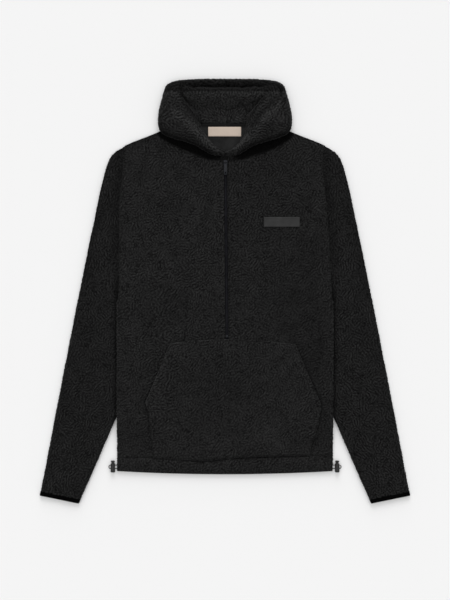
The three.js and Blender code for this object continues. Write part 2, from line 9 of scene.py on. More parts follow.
import bmesh
import bpy
import numpy as np
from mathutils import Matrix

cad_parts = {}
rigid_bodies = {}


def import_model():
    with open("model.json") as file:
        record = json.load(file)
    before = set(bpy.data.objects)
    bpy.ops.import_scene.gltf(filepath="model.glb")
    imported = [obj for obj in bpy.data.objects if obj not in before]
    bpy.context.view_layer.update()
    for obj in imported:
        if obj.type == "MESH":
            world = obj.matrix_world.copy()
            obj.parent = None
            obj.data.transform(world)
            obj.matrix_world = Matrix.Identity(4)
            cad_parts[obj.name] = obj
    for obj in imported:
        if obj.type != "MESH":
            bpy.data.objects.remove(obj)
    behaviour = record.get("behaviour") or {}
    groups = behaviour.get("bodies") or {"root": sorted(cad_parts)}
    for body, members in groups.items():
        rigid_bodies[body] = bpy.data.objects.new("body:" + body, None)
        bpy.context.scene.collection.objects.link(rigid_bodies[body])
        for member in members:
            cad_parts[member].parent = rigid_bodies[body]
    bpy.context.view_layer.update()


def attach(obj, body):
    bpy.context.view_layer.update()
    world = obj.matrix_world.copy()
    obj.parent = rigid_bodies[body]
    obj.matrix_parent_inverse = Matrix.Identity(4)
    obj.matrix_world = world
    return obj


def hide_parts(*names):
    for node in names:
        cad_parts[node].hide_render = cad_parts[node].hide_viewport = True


for leftover in list(bpy.data.objects):
    bpy.data.objects.remove(leftover)
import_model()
MM = 0.001

# Photo frame: width and height in pixels, the millimetres that one pixel covers, and the point at its centre
FRAME_PX = (450, 600)
MM_PER_PX = 2.1
FRAME_CENTRE = (0.0, -18.7)
LENS_MM = 85.0
SENSOR_MM = 36.0
CAMERA_REACH = 20

# The names of the two sides, and which way each lies
SIDES = (("left", -1), ("right", 1))
# Cloth thicknesses and levels, as in the model
FLEECE = 3.5
LINING = 1.2
GAP = 0.3
LEVEL_TOP = 2 * FLEECE + GAP
# The body's side folds, the end of what is turned back behind, and the heights of its seams
FOLD_X = 227.0
RETURN_X = 214.7
ARMPIT_Y = -18.7
HEM_SEAM_Y = -349.0
ARMHOLE_TOP_Y = 304.0
NECK_TOP_Y = 334.5
# How far the sleeves behind the body lift it
SLEEVE_LIFT = 9.9
# The zip's ends, its slit's half width, and how far the cloth rises beside it
ZIP_TOP_Y = 286.5
ZIP_BOTTOM_Y = -98.5
ZIP_TOP_X = 0.84
ZIP_BOTTOM_X = 4.0
SLIT_HALF = 3.15
ZIP_LIFT = 1.2

# The fleece's surface: its highest curls reach the model's face, and its valleys lie this far below it
PILE_DEPTH = 1.5
PILE_TOP = 0.15
TILE_PX = 1024
TILE_STEP = 0.4
SEED = 7
# The locks' wave lengths, their directions in degrees and how far they spread, the patches that they lie in,
# and the slow unevenness of the pile
LOCK_WAVES = (4.4, 7.5)
LOCK_DIRECTIONS = (5, 50, 95, 140)
LOCK_SPREAD = 0.75
LOCK_CONTRAST = 0.85
PATCH_WAVES = (35, 80)
PATCH_CONTRAST = 1.1
SLOW_WAVES = (40, 110)
SLOW_RISE = 0.12
# How light the pile is in a valley, where it holds painted shade, how much lighter on a lock, and on the mean
VALLEY_LIGHT = 0.2
LOCK_LIGHT = 1.05
MEAN_LIGHT = 0.72
HIDDEN_LIGHT = 0.4
# The share of a tone's range that the evenly lit pile takes up, which leaves room for paler pile and painted
# highlights
HEADROOM = 0.5
COARSE = 4
FINE = 1
# The radius of a cut edge's rounding
EDGE_RADIUS = 3.0
# A distance from a border for places that have none near
FAR = 99.0
# The front's coarse rows below, beside and above the zip, and its columns on each side, in coarse cells
ROWS_BELOW = 40
ROWS_CHEST = 37
ROWS_NECK = 6
SIDE_COLUMNS = 26
# The cells of the slit, of a side's turn and of its return
SLIT_CELLS = COARSE
TURN_CELLS = 2 * COARSE
RETURN_CELLS = COARSE

# Rows of the body, from hem to neck: half widths to each side, and where the neck opening starts
BODY_Y = np.array([-349, -310, -18.7, 30, 80, 130, 180, 230, 262, 286.5, 304, 312, 322, 330, 334.5])
BODY_LEFT = np.array([223.35, 223.35, 223.35, 222, 221.8, 221.8, 221.6, 216.5, 213.5, 214, 211, 193.5,
                      167.5, 146.5, 137])
BODY_RIGHT = np.array([223.35, 223.35, 223.35, 221.7, 219.2, 216, 212.8, 207, 203.5, 204.5, 211, 193.5,
                       167.5, 146.5, 137])
NECK_Y = np.array([286.5, 304, 312, 322, 330, 334.5])
NECK_X = np.array([5, 38, 52, 80, 107, 125])
BACK_NECK_X = np.array([0, 50, 85, 115, 126, 137])
BACK_NECK_Y = np.array([350.1, 349.6, 347.4, 343.2, 339.8, 334.6])
# How far the facing covers the seam of the hood, and its half width
FACING_OVER = 1.1
FACING_HALF = 104
# The label's and the patch's left, right, bottom and top
LABEL = (-35.3, 33.8, 324.2, 344.2)
PATCH = (81.3, 156.5, 134.4, 155.2)
# The sides of a thin rod, and the points of a rounded corner
ROD_SIDES = 6
CORNER_POINTS = 7
# The seam above the hem from side to side, how far up its sag reaches, and the hem's lower edge and height
HEM_SEAM_X = np.array([-227, -150, -44, -2, 52, 166, 227])
HEM_SEAM = np.array([-349.4, -350.5, -356.8, -352.6, -348.4, -344.8, -347.5])
SAG_TOP_Y = -300.0
HEM_SIDE_Y = -377.2
HEM_MIDDLE_Y = -383.9
HEM_HEIGHT = 33

# Rings of the right sleeve, from the cuff up: outer point, inner point, point that bows it, half thickness
SLEEVE_RINGS = np.array([
    [387.2, -421.4, 303.3, -438.3, 345.3, -429.8, 4.0],
    [376.5, -366.6, 281.9, -391, 329.2, -378.8, 4.2],
    [361.5, -288, 257.7, -335, 309.6, -311.5, 4.4],
    [345.2, -203.5, 231.8, -275, 288.5, -239.3, 4.6],
    [333, -141, 210.1, -225, 274, -178, 4.7],
    [320.5, -77, 190.7, -180, 262, -140, 4.7],
    [308.5, -16, 173, -149, 262, -98, 4.7],
    [298.5, 33, 167, -126, 275, -80, 4.7],
    [285.2, 98.9, 170, -106, 285, -80, 4.6],
    [274, 150, 178, -88, 282, -75, 4.5],
    [264, 199.7, 189, -70, 272, -62, 4.4],
    [256, 233.3, 202, -52, 262, -45, 4.2],
    [247, 266.9, 214, -36, 248, -20, 4.0],
    [234, 288.5, 219.5, -27, 238, -12, 3.8],
])
# The armhole's middle, the points of a course, the share of the pile's light that the sleeves keep, and the
# cuff's outer and inner end
ARMHOLE_MIDDLE = (218, 200)
COURSE_POINTS = 400
SLEEVE_LIGHT = 0.835
CUFF_OUTER = (388.7, -428.6)
CUFF_INNER = (306.4, -445.4)

# Sections of the right half of the hood, from the top of the zip round to the crown:
# edge x, edge y, fold radius, rim x, rim y, rim z, crest, seam x, seam y, seam z
HOOD = np.array([
    [1.8, 281.5, 2.2, 1.2, 289.5, 16, 0, 1.4, 285.5, 11],
    [31, 286, 3, 24.6, 301.4, 17, 0.6, 28, 293, 10.4],
    [57, 301.5, 4.2, 44, 324, 19, 1.5, 53.5, 308, 9.8],
    [85, 311.5, 5.2, 51.5, 341, 20.5, 2.4, 81.5, 318.5, 9.6],
    [112, 319.8, 6.2, 57, 356.5, 21.5, 3, 108, 326.5, 9.6],
    [130, 327.8, 6.8, 62, 368, 22, 3.2, 125, 332.5, 9.6],
    [138.6, 339, 7.2, 67, 378, 22, 3.2, 131, 342, 7.4],
    [140.7, 355, 7.8, 72, 386, 22, 3, 117, 346.5, 3.4],
    [139.2, 374, 8.2, 77, 394, 22, 2.6, 87, 348.9, 1.75],
    [135.6, 392, 8.4, 81, 401, 21.6, 2.2, 52, 350.6, 1.75],
    [131.6, 407, 8.2, 84.5, 407.5, 21.2, 1.6, 25, 350.8, 1.75],
    [128, 419.5, 7.8, 86.5, 413, 21, 0.8, 0.15, 350.8, 1.75],
    [122.9, 431.0, 7.4, 84, 417, 21, -0.6, 0.15, 366, 1.75],
    [108, 439.2, 7, 74, 418, 21, -1.8, 0.15, 380, 1.75],
    [80.6, 443.0, 6.8, 56, 418, 21, -2.6, 0.15, 396, 1.75],
    [42, 444.6, 6.6, 30, 418, 21, -3, 0.15, 414, 1.75],
    [0.15, 445, 6.6, 0.15, 418, 21, -3, 0.15, 432.6, 1.75],
])

# Where the hood's turned-in edge ends inside it, for each section: x and y
HOOD_TUCK = np.array([
    [0.9, 292.5], [22.6, 303.5], [41.5, 326.5], [47, 343.5], [49, 357], [49, 367], [56, 375], [62.5, 382],
    [68, 388], [73, 394], [76, 398], [73, 399], [66, 396], [57, 392], [43, 388], [22, 385], [0.05, 384],
])
# How much farther out than the middle table each side's rim lies, by section
RIM_SECTIONS = [0, 2, 3, 5, 8, 11, 12, 14]
RIM_SHIFT = {-1: [0, -2, 4, 7, 10, 8, 6, 0], 1: [0, 0, -4, -5, -3, 0, 0, 0]}
# Where the rim's highest line lies, as a share of the way from its edge to the hood's outer fold
RIDGE_SECTIONS = [0, 1, 3, 4, 5, 7, 9, 11, 16]
RIDGE_SHARE = {-1: [0.5, 0.3, 0.25, 0.25, 0.35, 0.46, 0.5, 0.5, 0.5],
               1: [0.4, 0.18, 0.2, 0.24, 0.3, 0.34, 0.55, 0.5, 0.5]}
RIM_DROP = 4.0
RIM_BAND_Y = 412.5
# The sections between which the hood's side passes into its crown
CROWN = (10.5, 12.5)
# How far apart the points of a section are counted, and the number of its last one, at the seam
SECTION_WEIGHTS = [0, 9, 18, 34, 54, 70, 76, 82, 88, 94, 100, 130, 160]
HOOD_SEAM = 12
# The share of the pile's light that the hood's outside and its inside keep
HOOD_LIGHT = 0.96
HOOD_INNER_LIGHT = 1.22
# How far the painted shade on the hood's outside reaches in from its lower edge, on each side
EDGE_FADE = {-1: 26, 1: 17}
HOOD_CREASES = {-1: [(91, 421, 100, 9, 3.5, -3.0)], 1: [(116, 414, 96, 13, 4, -3.4)]}
# How far each half is drawn over to the other along the centre seam
CENTRE_OVERLAP = 0.7
# The hollow between the hood's rim and its crown: its middle line, its reach from side to side, its depth
CREVICE_Y = 427.8
CREVICE_X = (-66, 72)
CREVICE_DEPTH = 8.5
# Painted shade along folds of the hood's inside, on each side: points and half width
INNER_FOLD_SHADES = {
    -1: [([(91, 410), (84, 396), (66, 371), (54, 356), (42, 346)], 6.5)],
    1: [([(88, 408), (74, 393), (61, 375), (53, 358), (46, 346)], 4.6),
        ([(32, 396), (40, 387), (47, 379), (56, 375)], 3.4)],
}
# Painted highlights on ridges and painted shade in valleys along the hood's rim, on each side: points, half
# width and gain
RIM_HIGHLIGHTS_AND_SHADES = {
    -1: [([(104, 373), (87, 356), (64.5, 337), (36, 308.6), (17, 291)], 8, 0.9),
         ([(84, 388), (70, 368), (55, 350), (40, 331)], 5, -0.2)],
    1: [([(110, 386), (90, 367), (69, 344), (54, 326), (34, 306), (8, 287)], 8, 0.8),
        ([(96, 391), (82, 377), (66, 358), (56, 343)], 4.2, -0.5)],
}

# The pocket's two sides from its bottom up, and the arch of its top edge
POCKET_LEFT_Y = np.array([-345, -279, -262.3, -232.1, -109])
POCKET_LEFT_X = np.array([-149.3, -157, -158.8, -166.1, -113.6])
POCKET_RIGHT_Y = np.array([-345, -325.3, -279.1, -245.5, -232.9, -111.1])
POCKET_RIGHT_X = np.array([178.3, 180.4, 195.1, 200.3, 199.3, 146.8])
POCKET_TOP_X = np.array([-113.6, -60, 4, 80, 146.8])
POCKET_TOP_Y = np.array([-109, -103, -100.6, -103.5, -111.1])
POCKET_BOTTOM_Y = -345.0
POCKET_SIDE_Y = -111.1
POCKET_LINE = np.concatenate([
    np.stack([POCKET_LEFT_X, POCKET_LEFT_Y], axis=1), np.stack([POCKET_TOP_X, POCKET_TOP_Y], axis=1)[1:-1],
    np.stack([POCKET_RIGHT_X, POCKET_RIGHT_Y], axis=1)[::-1],
])
# How deep the seam above the hem is drawn in, from side to side
HEM_DRAW_X = [-227, -150, -78, -66, -12, -3, 10, 18, 60, 75, 150, 170, 182, 227]
HEM_DRAW = [0.1, 0.25, 0.3, 0.9, 1.0, 0.25, 0.3, 0.9, 1.0, 0.8, 0.75, 0.5, 0.12, 0.1]

# Soft creases: centre x and y, direction in degrees, half length, half width, and depth, < 0 for a trough
CREASES = [
    (-38, 160, 64, 34, 7, -1.5),
    (-24, 168, 62, 30, 6, 0.8),
    (-160, 300, 82, 30, 6, -1.1),
    (-176, 240, 84, 26, 6, -0.9),
    (180, 165, -50, 26, 7, -1.1),
    (140, -80, 42, 22, 6, -1.2),
    (120, 40, 20, 60, 16, -0.8),
    (-120, -10, -24, 66, 18, -0.8),
    (-60, 60, 80, 70, 18, -0.6),
    (90, 230, 70, 60, 16, -0.7),
    (-110, 110, 30, 60, 15, 0.7),
    (200, -120, 86, 60, 10, -0.8),
    (-198, -160, 94, 70, 10, -0.8),
]
# Broad, faint changes of the front's and the pocket's tone, laid out as the creases are: paler is > 0
TONES = [
    (-59, 72, 90, 170, 15, 0.14),
    (16, 90, 88, 170, 12, -0.10),
    (160, 10, 60, 100, 42, -0.14),
    (192, -100, 90, 70, 20, -0.15),
    (-95, -45, 20, 55, 30, -0.12),
    (-163, -22, 70, 40, 22, -0.12),
    (-190, -150, 90, 90, 24, 0.09),
    (-150, 240, 80, 60, 22, 0.09),
    (60, 240, 10, 70, 30, -0.04),
    (109, 143, 30, 46, 24, -0.10),
    (-63, 113, 80, 44, 18, 0.07),
    (-77, -14, 60, 30, 14, 0.10),
    (-118, 178, 60, 30, 20, -0.10),
    (194, 171, 80, 46, 14, 0.12),
    (180, 28, 80, 40, 20, -0.10),
]
POCKET_TONES = [
    (8, -190, 0, 82, 44, -0.18),
    (-30, -260, 10, 60, 24, -0.12),
    (125, -285, 50, 60, 36, 0.10),
    (80, -308, 0, 34, 20, 0.09),
    (-110, -310, 10, 50, 26, 0.06),
]
SLEEVE_CREASES = [
    (262, 150, -72, 60, 9, -1.2),
    (292, 20, -76, 70, 10, -0.9),
    (300, -120, -64, 60, 12, -0.9),
    (338, -250, -74, 60, 9, -0.8),
    (318, -330, -60, 34, 8, -0.8),
    (246, 60, -82, 60, 9, 0.7),
    (350, -380, -70, 30, 7, 0.6),
]

# The pale sky's strength, and each sun's name, strength, width and height in degrees
SKY = 0.6
SUNS = [
    ("sun", 2.2, 42, 21),
    ("overhead", 0.912, 80, 90),
]
FLOOR_HALF = 6.0

# The zip's coils: how far apart a row's bars are, where they end, and a bar's places aside and up
COIL_PITCH = 1.35
COIL_TOP_Y = 262
COIL_BAR = [(-0.5, 6.55), (0.2, 7.0), (1.2, 7.05), (1.9, 6.7), (2.25, 6.0)]
# The pull's hinge, the ends of the pad behind the zip's top and of its stop, and the cord locks' place
HINGE_Y = 269.5
HINGE_Z = 12.4
BACKING_Y = (275.6, 284.0)
STOP_Y = (-97.0, -92.0)
LOCK_X = 235.2
LOCK_Y = -380.0
LOCK_Z = 4.8
# The cord lock's barrel and its button: radii and places along its axis, and where their slots start and end
BARREL = [
    (0, 0), (3.1, 0), (4.1, 0.3), (4.65, 1.1), (4.8, 2.0), (4.8, 3.2), (4.45, 3.5), (4.45, 3.9), (4.8, 4.2),
    (4.8, 5.0), (4.45, 5.3), (4.45, 5.7), (4.8, 6.0), (4.8, 16.8), (4.5, 17.05), (4.5, 17.4), (4.75, 17.65),
    (4.7, 18.2), (4.3, 18.5), (3.1, 18.5), (3.1, 2.4), (0, 2.4),
]
BUTTON = [
    (0, 5.2), (2.8, 5.2), (2.8, 21.3), (3.9, 21.3), (4.2, 21.6), (4.2, 22.3), (3.95, 22.5), (3.95, 22.8),
    (4.2, 23.0), (4.1, 23.7), (3.7, 24.2), (3.0, 24.5), (2.4, 24.35), (0, 24.2),
]
SLOT_START = 6.7
BARREL_SLOT_END = 16.3
BUTTON_SLOT_END = 18.8
DRAWCORD_MM = 1.8
# The right cord's route, x and y: out of the hem, through the cord lock, round and back
CORD_ROUTE = [
    (224.6, -364.9), (230.5, -364.9), (234, -364.9), (237.5, -364.9), (239.9, -364.9), (241.7, -365.38),
    (243.02, -366.7), (243.5, -368.5), (243.02, -370.3), (241.7, -371.62), (239.9, -372.1), (237.5, -372.1),
    (234, -372.1), (230.5, -372.1), (224.6, -372.1),
]


def add_object(name, data):
    """A new object of the scene."""
    made = bpy.data.objects.new(name, data)
    bpy.context.scene.collection.objects.link(made)
    return made


def add_camera():
    """A camera that looks straight down on the middle of the photo's frame."""
    camera = bpy.data.cameras.new("camera")
    camera.lens = LENS_MM
    camera.sensor_width = SENSOR_MM
    camera.clip_end = CAMERA_REACH
    high = MM_PER_PX * FRAME_PX[1]
    eye = add_object("camera", camera)
    eye.location = (FRAME_CENTRE[0] * MM, FRAME_CENTRE[1] * MM, LENS_MM / SENSOR_MM * high * MM)
    bpy.context.scene.camera = eye


def smooth(low, high, at):
    """A soft step from 0 at low to 1 at high."""
    t = np.clip((at - low) / (high - low), 0, 1)
    return t * t * (3 - 2 * t)


def spline(rows, places):
    """Catmull-Rom through rows of numbers, at places counted in rows."""
    rows = np.asarray(rows, float)
    base = np.clip(np.floor(places).astype(int), 0, len(rows) - 2)
    t = (places - base).reshape(-1, *([1] * (rows.ndim - 1)))
    before = np.maximum(base - 1, 0)
    after = np.minimum(base + 2, len(rows) - 1)
    p0, p1, p2, p3 = rows[before], rows[base], rows[base + 1], rows[after]
    first = (before == base).reshape(t.shape)
    last = (after == base + 1).reshape(t.shape)
    p0 = np.where(first, 2 * p1 - p2, p0)
    p3 = np.where(last, 2 * p2 - p1, p3)
    return p1 + 0.5 * t * (p2 - p0 + t * (2 * p0 - 5 * p1 + 4 * p2 - p3 + t * (3 * (p1 - p2) + p3 - p0)))


def band_noise(generator, shortest, longest, degrees=None):
    """A square of smooth noise that repeats, whose waves are shortest to longest millimetres long.

    With degrees, its streaks lie across that direction.
    """
    spectrum = np.fft.fft2(generator.standard_normal((TILE_PX, TILE_PX)))
    frequency = np.fft.fftfreq(TILE_PX, TILE_STEP)
    across, up = np.meshgrid(frequency, frequency)
    waves = np.hypot(across, up)
    low, high = 1 / longest, 1 / shortest
    band = np.exp(-((np.log(np.maximum(waves, 1e-6)) - math.log(math.sqrt(low * high))) ** 2)
                  / (2 * (0.5 * math.log(high / low)) ** 2))
    if degrees is not None:
        turn = np.mod(np.arctan2(up, across) - math.radians(degrees) + np.pi / 2, np.pi) - np.pi / 2
        band = band * np.exp(-((turn / LOCK_SPREAD) ** 2))
    noise = np.real(np.fft.ifft2(spectrum * band))
    return noise / noise.std()


def make_tiles():
    """The height of the locks, from 0 in a valley to 1 on a lock, and the slow unevenness of the pile.

    The locks lie in patches, each combed its own way.
    """
    generator = np.random.default_rng(SEED)
    total, squares = 0, 0
    for degrees in LOCK_DIRECTIONS:
        patch = np.exp(PATCH_CONTRAST * band_noise(generator, *PATCH_WAVES))
        total = total + patch * band_noise(generator, *LOCK_WAVES, degrees)
        squares = squares + patch ** 2
    locks = total / np.sqrt(squares)
    slow = band_noise(generator, *SLOW_WAVES)
    return 0.5 + 0.5 * np.tanh(LOCK_CONTRAST * locks / locks.std()), slow


def sample(tile, u, v):
    """A tile's value at places in millimetres, between its nearest four."""
    x, y = u / TILE_STEP, v / TILE_STEP
    i, j = np.floor(x).astype(int), np.floor(y).astype(int)
    s, t = x - i, y - j
    at = lambda a, b: tile[np.mod(b, TILE_PX), np.mod(a, TILE_PX)]
    near = at(i, j) * (1 - s) + at(i + 1, j) * s
    far = at(i, j + 1) * (1 - s) + at(i + 1, j + 1) * s
    return near * (1 - t) + far * t


CURLS, SLOW = make_tiles()


def normals(grid, around=False):
    """The direction in which a grid faces at each of its points."""
    if around:
        across = np.roll(grid, -1, axis=1) - np.roll(grid, 1, axis=1)
    else:
        across = np.gradient(grid, axis=1)
    n = np.cross(across, np.gradient(grid, axis=0))
    return n / np.maximum(np.linalg.norm(n, axis=2, keepdims=True), 1e-9)


def pile(grid, shift):
    """How high the pile stands at each point of a grid, and how light it is there, with painted shade in its
    valleys.
    """
    x, y, z = grid[..., 0], grid[..., 1], grid[..., 2]
    u, v = x + 0.9 * z + shift[0], y + 0.4 * z + shift[1]
    height = sample(CURLS, u, v)
    slow = sample(SLOW, u, v)
    light = (VALLEY_LIGHT + LOCK_LIGHT * height) * (1 + 0.04 * slow)
    return PILE_TOP - PILE_DEPTH * (1 - height) + SLOW_RISE * slow, light


def distance_to(line, x, y):
    """The distance from each place to a line of points."""
    nearest = np.full(np.shape(x), np.inf)
    for (x0, y0), (x1, y1) in zip(line[:-1], line[1:]):
        dx, dy = x1 - x0, y1 - y0
        share = np.clip(((x - x0) * dx + (y - y0) * dy) / (dx * dx + dy * dy), 0, 1)
        nearest = np.minimum(nearest, np.hypot(x - x0 - share * dx, y - y0 - share * dy))
    return nearest


def soft_line(distance, half_width):
    """1 on a line, falling softly to 0 away from it."""
    return np.exp(-((distance / half_width) ** 2))


def hood_shadow(x, y):
    """How light the cloth is below the hood's lower edge: a painted shadow there, which fades out at the V.
    """
    aside = np.abs(x)
    width = 8 + 8 * soft_line(aside - 74, 42) + 4 * soft_line(x - 104, 44)
    below = 1 - smooth(0.8 * width, 1.3 * width, distance_to(HOOD[:7, :2], aside, y))
    return 1 - 0.96 * below * (1 - soft_line(x - 5, 15))


def front_shade(x, y):
    """How light the front is: painted shadow below the hood, painted shade and highlights on its creases,
    painted shade beside the seam above the hem and beside the pocket, darker towards its right, and broad
    changes of its tone.
    """
    shade = hood_shadow(x, y) * crease_light(x, y, CREASES) * seam_light(y - hem_seam(x), drawn_in(x))
    shade *= (1 - 0.06 * smooth(-20, 160, x)) * (1 + creases(x, y, TONES))
    # Painted shade beside the pocket's edges and mouths
    by_pocket = distance_to(POCKET_LINE, x, y)
    beside_mouth = smooth(-330, -240, y) * smooth(-85, -110, y)
    wide = (0.1 * (x < 0) + 0.16 * smooth(110, 150, x)) * beside_mouth
    thin = 0.4 * smooth(110, 150, x) * beside_mouth + 0.4 * soft_line(y + 255, 26) * (x < 0)
    return shade * (1 - wide * soft_line(by_pocket, 22)) * (1 - thin * soft_line(by_pocket, 3.5))


def crease_light(x, y, rows, gain=0.14, low=0.6, high=1.2):
    """How light the cloth is on its creases: painted shade in a trough, a painted highlight on a ridge."""
    return np.clip(1 + gain * creases(x, y, rows), low, high)


def drawn_in(x):
    """How deep the seam above the hem is drawn in, as a share."""
    return np.interp(x, HEM_DRAW_X, HEM_DRAW)


def seam_light(distance, drawn):
    """How light the cloth is beside the seam above the hem: painted shade in its groove, deeper where it is
    drawn in.
    """
    return 1 - (0.15 + 0.6 * drawn) * soft_line(distance, 1.5 + 2 * drawn)


def seam_edge(distance, drawn):
    """How high the cloth stands beside the seam above the hem, as a share."""
    return rounded(distance + 0.3, 1.5 + 4 * drawn)


def hem_seam(x):
    """Where the seam above the hem runs, with its zigzag where it is drawn in."""
    return np.interp(x, HEM_SEAM_X, HEM_SEAM) + 0.9 * np.sin(x / 3.3 + np.sin(x / 9)) * soft_line(x + 36, 30)


def rounded(distance, radius):
    """The height of a rounded edge, as a share, at a distance in from it."""
    return np.sqrt(np.clip(1 - np.clip(1 - distance / radius, 0, 1) ** 2, 0, 1))


def fine(cells):
    """How many cells of a grid's shown face stand for a number of coarse ones."""
    return cells * COARSE // FINE


def mirror(side, *skins):
    """Turns grids of the right half into those of the left half, where side is -1."""
    for skin in skins:
        skin[..., 0] *= side


def quads(ids, mask=None):
    """The corners of a grid's cells, or of those that a mask names."""
    corners = np.stack([ids[:-1, :-1], ids[:-1, 1:], ids[1:, 1:], ids[1:, :-1]], axis=2)
    return corners.reshape(-1, 4) if mask is None else corners[mask]


def strip_faces(fine, coarse):
    """Triangles between a fine line of points and a coarse line with one point for each COARSE."""
    faces = []
    for c in range(len(coarse) - 1):
        line = fine[c * COARSE: (c + 1) * COARSE + 1]
        middle = COARSE // 2
        faces += [(line[i], line[i + 1], coarse[c]) for i in range(middle)]
        faces += [(line[middle], coarse[c + 1], coarse[c])]
        faces += [(line[i], line[i + 1], coarse[c + 1]) for i in range(middle, COARSE)]
    return faces


def edge_runs(present, around):
    """The border edges of the coarse cells, each as its two corners, with the cells on its left."""
    rows, columns = present.shape
    has = lambda j, i: 0 <= j < rows and (around or 0 <= i < columns) and present[j, i % columns]
    for j in range(rows):
        for i in range(columns):
            if not present[j, i]:
                continue
            if not has(j - 1, i):
                yield (j, i), (j, i + 1)
            if not has(j, i + 1):
                yield (j, i + 1), (j + 1, i + 1)
            if not has(j + 1, i):
                yield (j + 1, i + 1), (j + 1, i)
            if not has(j, i - 1):
                yield (j + 1, i), (j, i)


def shell(name, outer, inner, present=None, around=False, light=None, flip=False):
    """A closed shell: outer keeps all its points, and inner one for each COARSE of them."""
    rows, columns = outer.shape[:2]
    cells = (columns if around else columns - 1) // COARSE
    if present is None:
        present = np.ones(((rows - 1) // COARSE, cells), bool)
    coarse = inner[::COARSE, ::COARSE]
    fine_id = np.arange(rows * columns).reshape(rows, columns)
    coarse_id = rows * columns + np.arange(coarse.shape[0] * coarse.shape[1]).reshape(coarse.shape[:2])
    if around:
        fine_id = np.concatenate([fine_id, fine_id[:, :1]], axis=1)
        coarse_id = np.concatenate([coarse_id, coarse_id[:, :1]], axis=1)
    fine_mask = np.repeat(np.repeat(present, COARSE, axis=0), COARSE, axis=1)
    faces = quads(fine_id, fine_mask).tolist() + quads(coarse_id, present)[:, ::-1].tolist()
    steps = np.arange(COARSE + 1)
    for (j0, i0), (j1, i1) in edge_runs(present, around):
        line = fine_id[COARSE * j0 + (j1 - j0) * steps, COARSE * i0 + (i1 - i0) * steps].tolist()
        ends = [int(coarse_id[j0, i0]), int(coarse_id[j1, i1])]
        faces += [face[::-1] for face in strip_faces(line, ends)]
    points = np.concatenate([outer.reshape(-1, 3), coarse.reshape(-1, 3)])
    shade = None
    if light is not None:
        shade = np.concatenate([light.reshape(-1), np.full(len(points) - light.size, HIDDEN_LIGHT)])
    return mesh_object(name, points, faces, shade, flip)


def mesh_object(name, points, faces, shade=None, flip=False):
    """An object of only the points that its faces use, shaded smooth."""
    flat = np.array([i for face in faces for i in face])
    used, renamed = np.unique(flat, return_inverse=True)
    sizes = np.array([len(face) for face in faces])
    starts = np.concatenate([[0], np.cumsum(sizes)[:-1]])
    mesh = bpy.data.meshes.new(name)
    mesh.vertices.add(len(used))
    mesh.vertices.foreach_set("co", (points[used] * MM).reshape(-1))
    mesh.loops.add(len(renamed))
    mesh.loops.foreach_set("vertex_index", renamed.astype(np.int32).reshape(-1))
    mesh.polygons.add(len(faces))
    mesh.polygons.foreach_set("loop_start", starts.astype(np.int32))
    mesh.polygons.foreach_set("use_smooth", np.ones(len(faces), bool))
    mesh.update(calc_edges=True)
    if flip:
        mesh.flip_normals()
    if shade is not None:
        # The points' tone with their painted light and shade
        layer = mesh.attributes.new("pile", "FLOAT", "POINT")
        layer.data.foreach_set("value", shade[used].astype(np.float32))
    mesh.validate()
    return add_object(name, mesh)


def sleeve_lift(x, y):
    """How far the body is lifted by the sleeve behind it."""
    near_side = smooth(100, 158, np.abs(x))
    return SLEEVE_LIFT * near_side * smooth(-335, -268, y) * (1 - smooth(-15, 60, y))


def zip_x(y):
    """Where the zip's middle line runs, which leans a little."""
    return ZIP_BOTTOM_X + (ZIP_TOP_X - ZIP_BOTTOM_X) * (y - ZIP_BOTTOM_Y) / (ZIP_TOP_Y - ZIP_BOTTOM_Y)


def zip_lift(x, y):
    """How far the front is lifted beside the zip."""
    aside = np.abs(x - zip_x(y))
    return ZIP_LIFT * (1 - smooth(16, 45, aside)) * smooth(ZIP_BOTTOM_Y - 60, ZIP_BOTTOM_Y - 20, y)


def creases(x, y, rows):
    """The sum of soft creases, or of soft changes of tone, that a table lays out."""
    total = np.zeros_like(x)
    for cx, cy, degrees, half_length, half_width, depth in rows:
        angle = math.radians(degrees)
        along = (x - cx) * math.cos(angle) + (y - cy) * math.sin(angle)
        aside = (y - cy) * math.cos(angle) - (x - cx) * math.sin(angle)
        aside = aside - 0.08 * along * np.sin(along / half_length * 1.7)
        total += depth * np.exp(-((along / half_length) ** 2) - (aside / half_width) ** 2)
    return total


def front_top(x, y):
    """The height of the front's smooth face."""
    return sleeve_lift(x, y) + zip_lift(x, y) + LEVEL_TOP + creases(x, y, CREASES)


def body_rows():
    """The rows of the front, from the seam above the hem up to the neck."""
    below = np.linspace(HEM_SEAM_Y, ARMPIT_Y, fine(ROWS_BELOW) + 1)
    beside_zip = np.linspace(ARMPIT_Y, ZIP_TOP_Y, fine(ROWS_CHEST) + 1)[1:]
    beside_neck = np.linspace(ZIP_TOP_Y, NECK_TOP_Y, fine(ROWS_NECK) + 1)[1:]
    return np.concatenate([below, beside_zip, beside_neck])


def body_grid(rows, side_columns=SIDE_COLUMNS, with_neck=True):
    """x and y of the body's points, left to right and hem to neck, without the turns at its sides."""
    left = np.interp(rows, BODY_Y, BODY_LEFT)
    right = np.interp(rows, BODY_Y, BODY_RIGHT)
    inner_left, inner_right = zip_x(rows) - SLIT_HALF, zip_x(rows) + SLIT_HALF
    if with_neck:
        neck = np.interp(rows, NECK_Y, NECK_X)
        inner_left = np.where(rows > ZIP_TOP_Y - 1e-6, -neck, inner_left)
        inner_right = np.where(rows > ZIP_TOP_Y - 1e-6, neck, inner_right)
    share = np.linspace(0, 1, fine(side_columns) + 1)
    slit = np.linspace(0, 1, SLIT_CELLS + 1)[1:-1]
    x = np.concatenate([
        -left[:, None] + (inner_left + left)[:, None] * share,
        inner_left[:, None] + (inner_right - inner_left)[:, None] * slit,
        inner_right[:, None] + (right - inner_right)[:, None] * share,
    ], axis=1)
    y = np.repeat(rows[:, None], x.shape[1], axis=1)
    sag = hem_seam(x) + GAP / 2 - HEM_SEAM_Y
    return x, y + sag * (1 - smooth(HEM_SEAM_Y, SAG_TOP_Y, y))


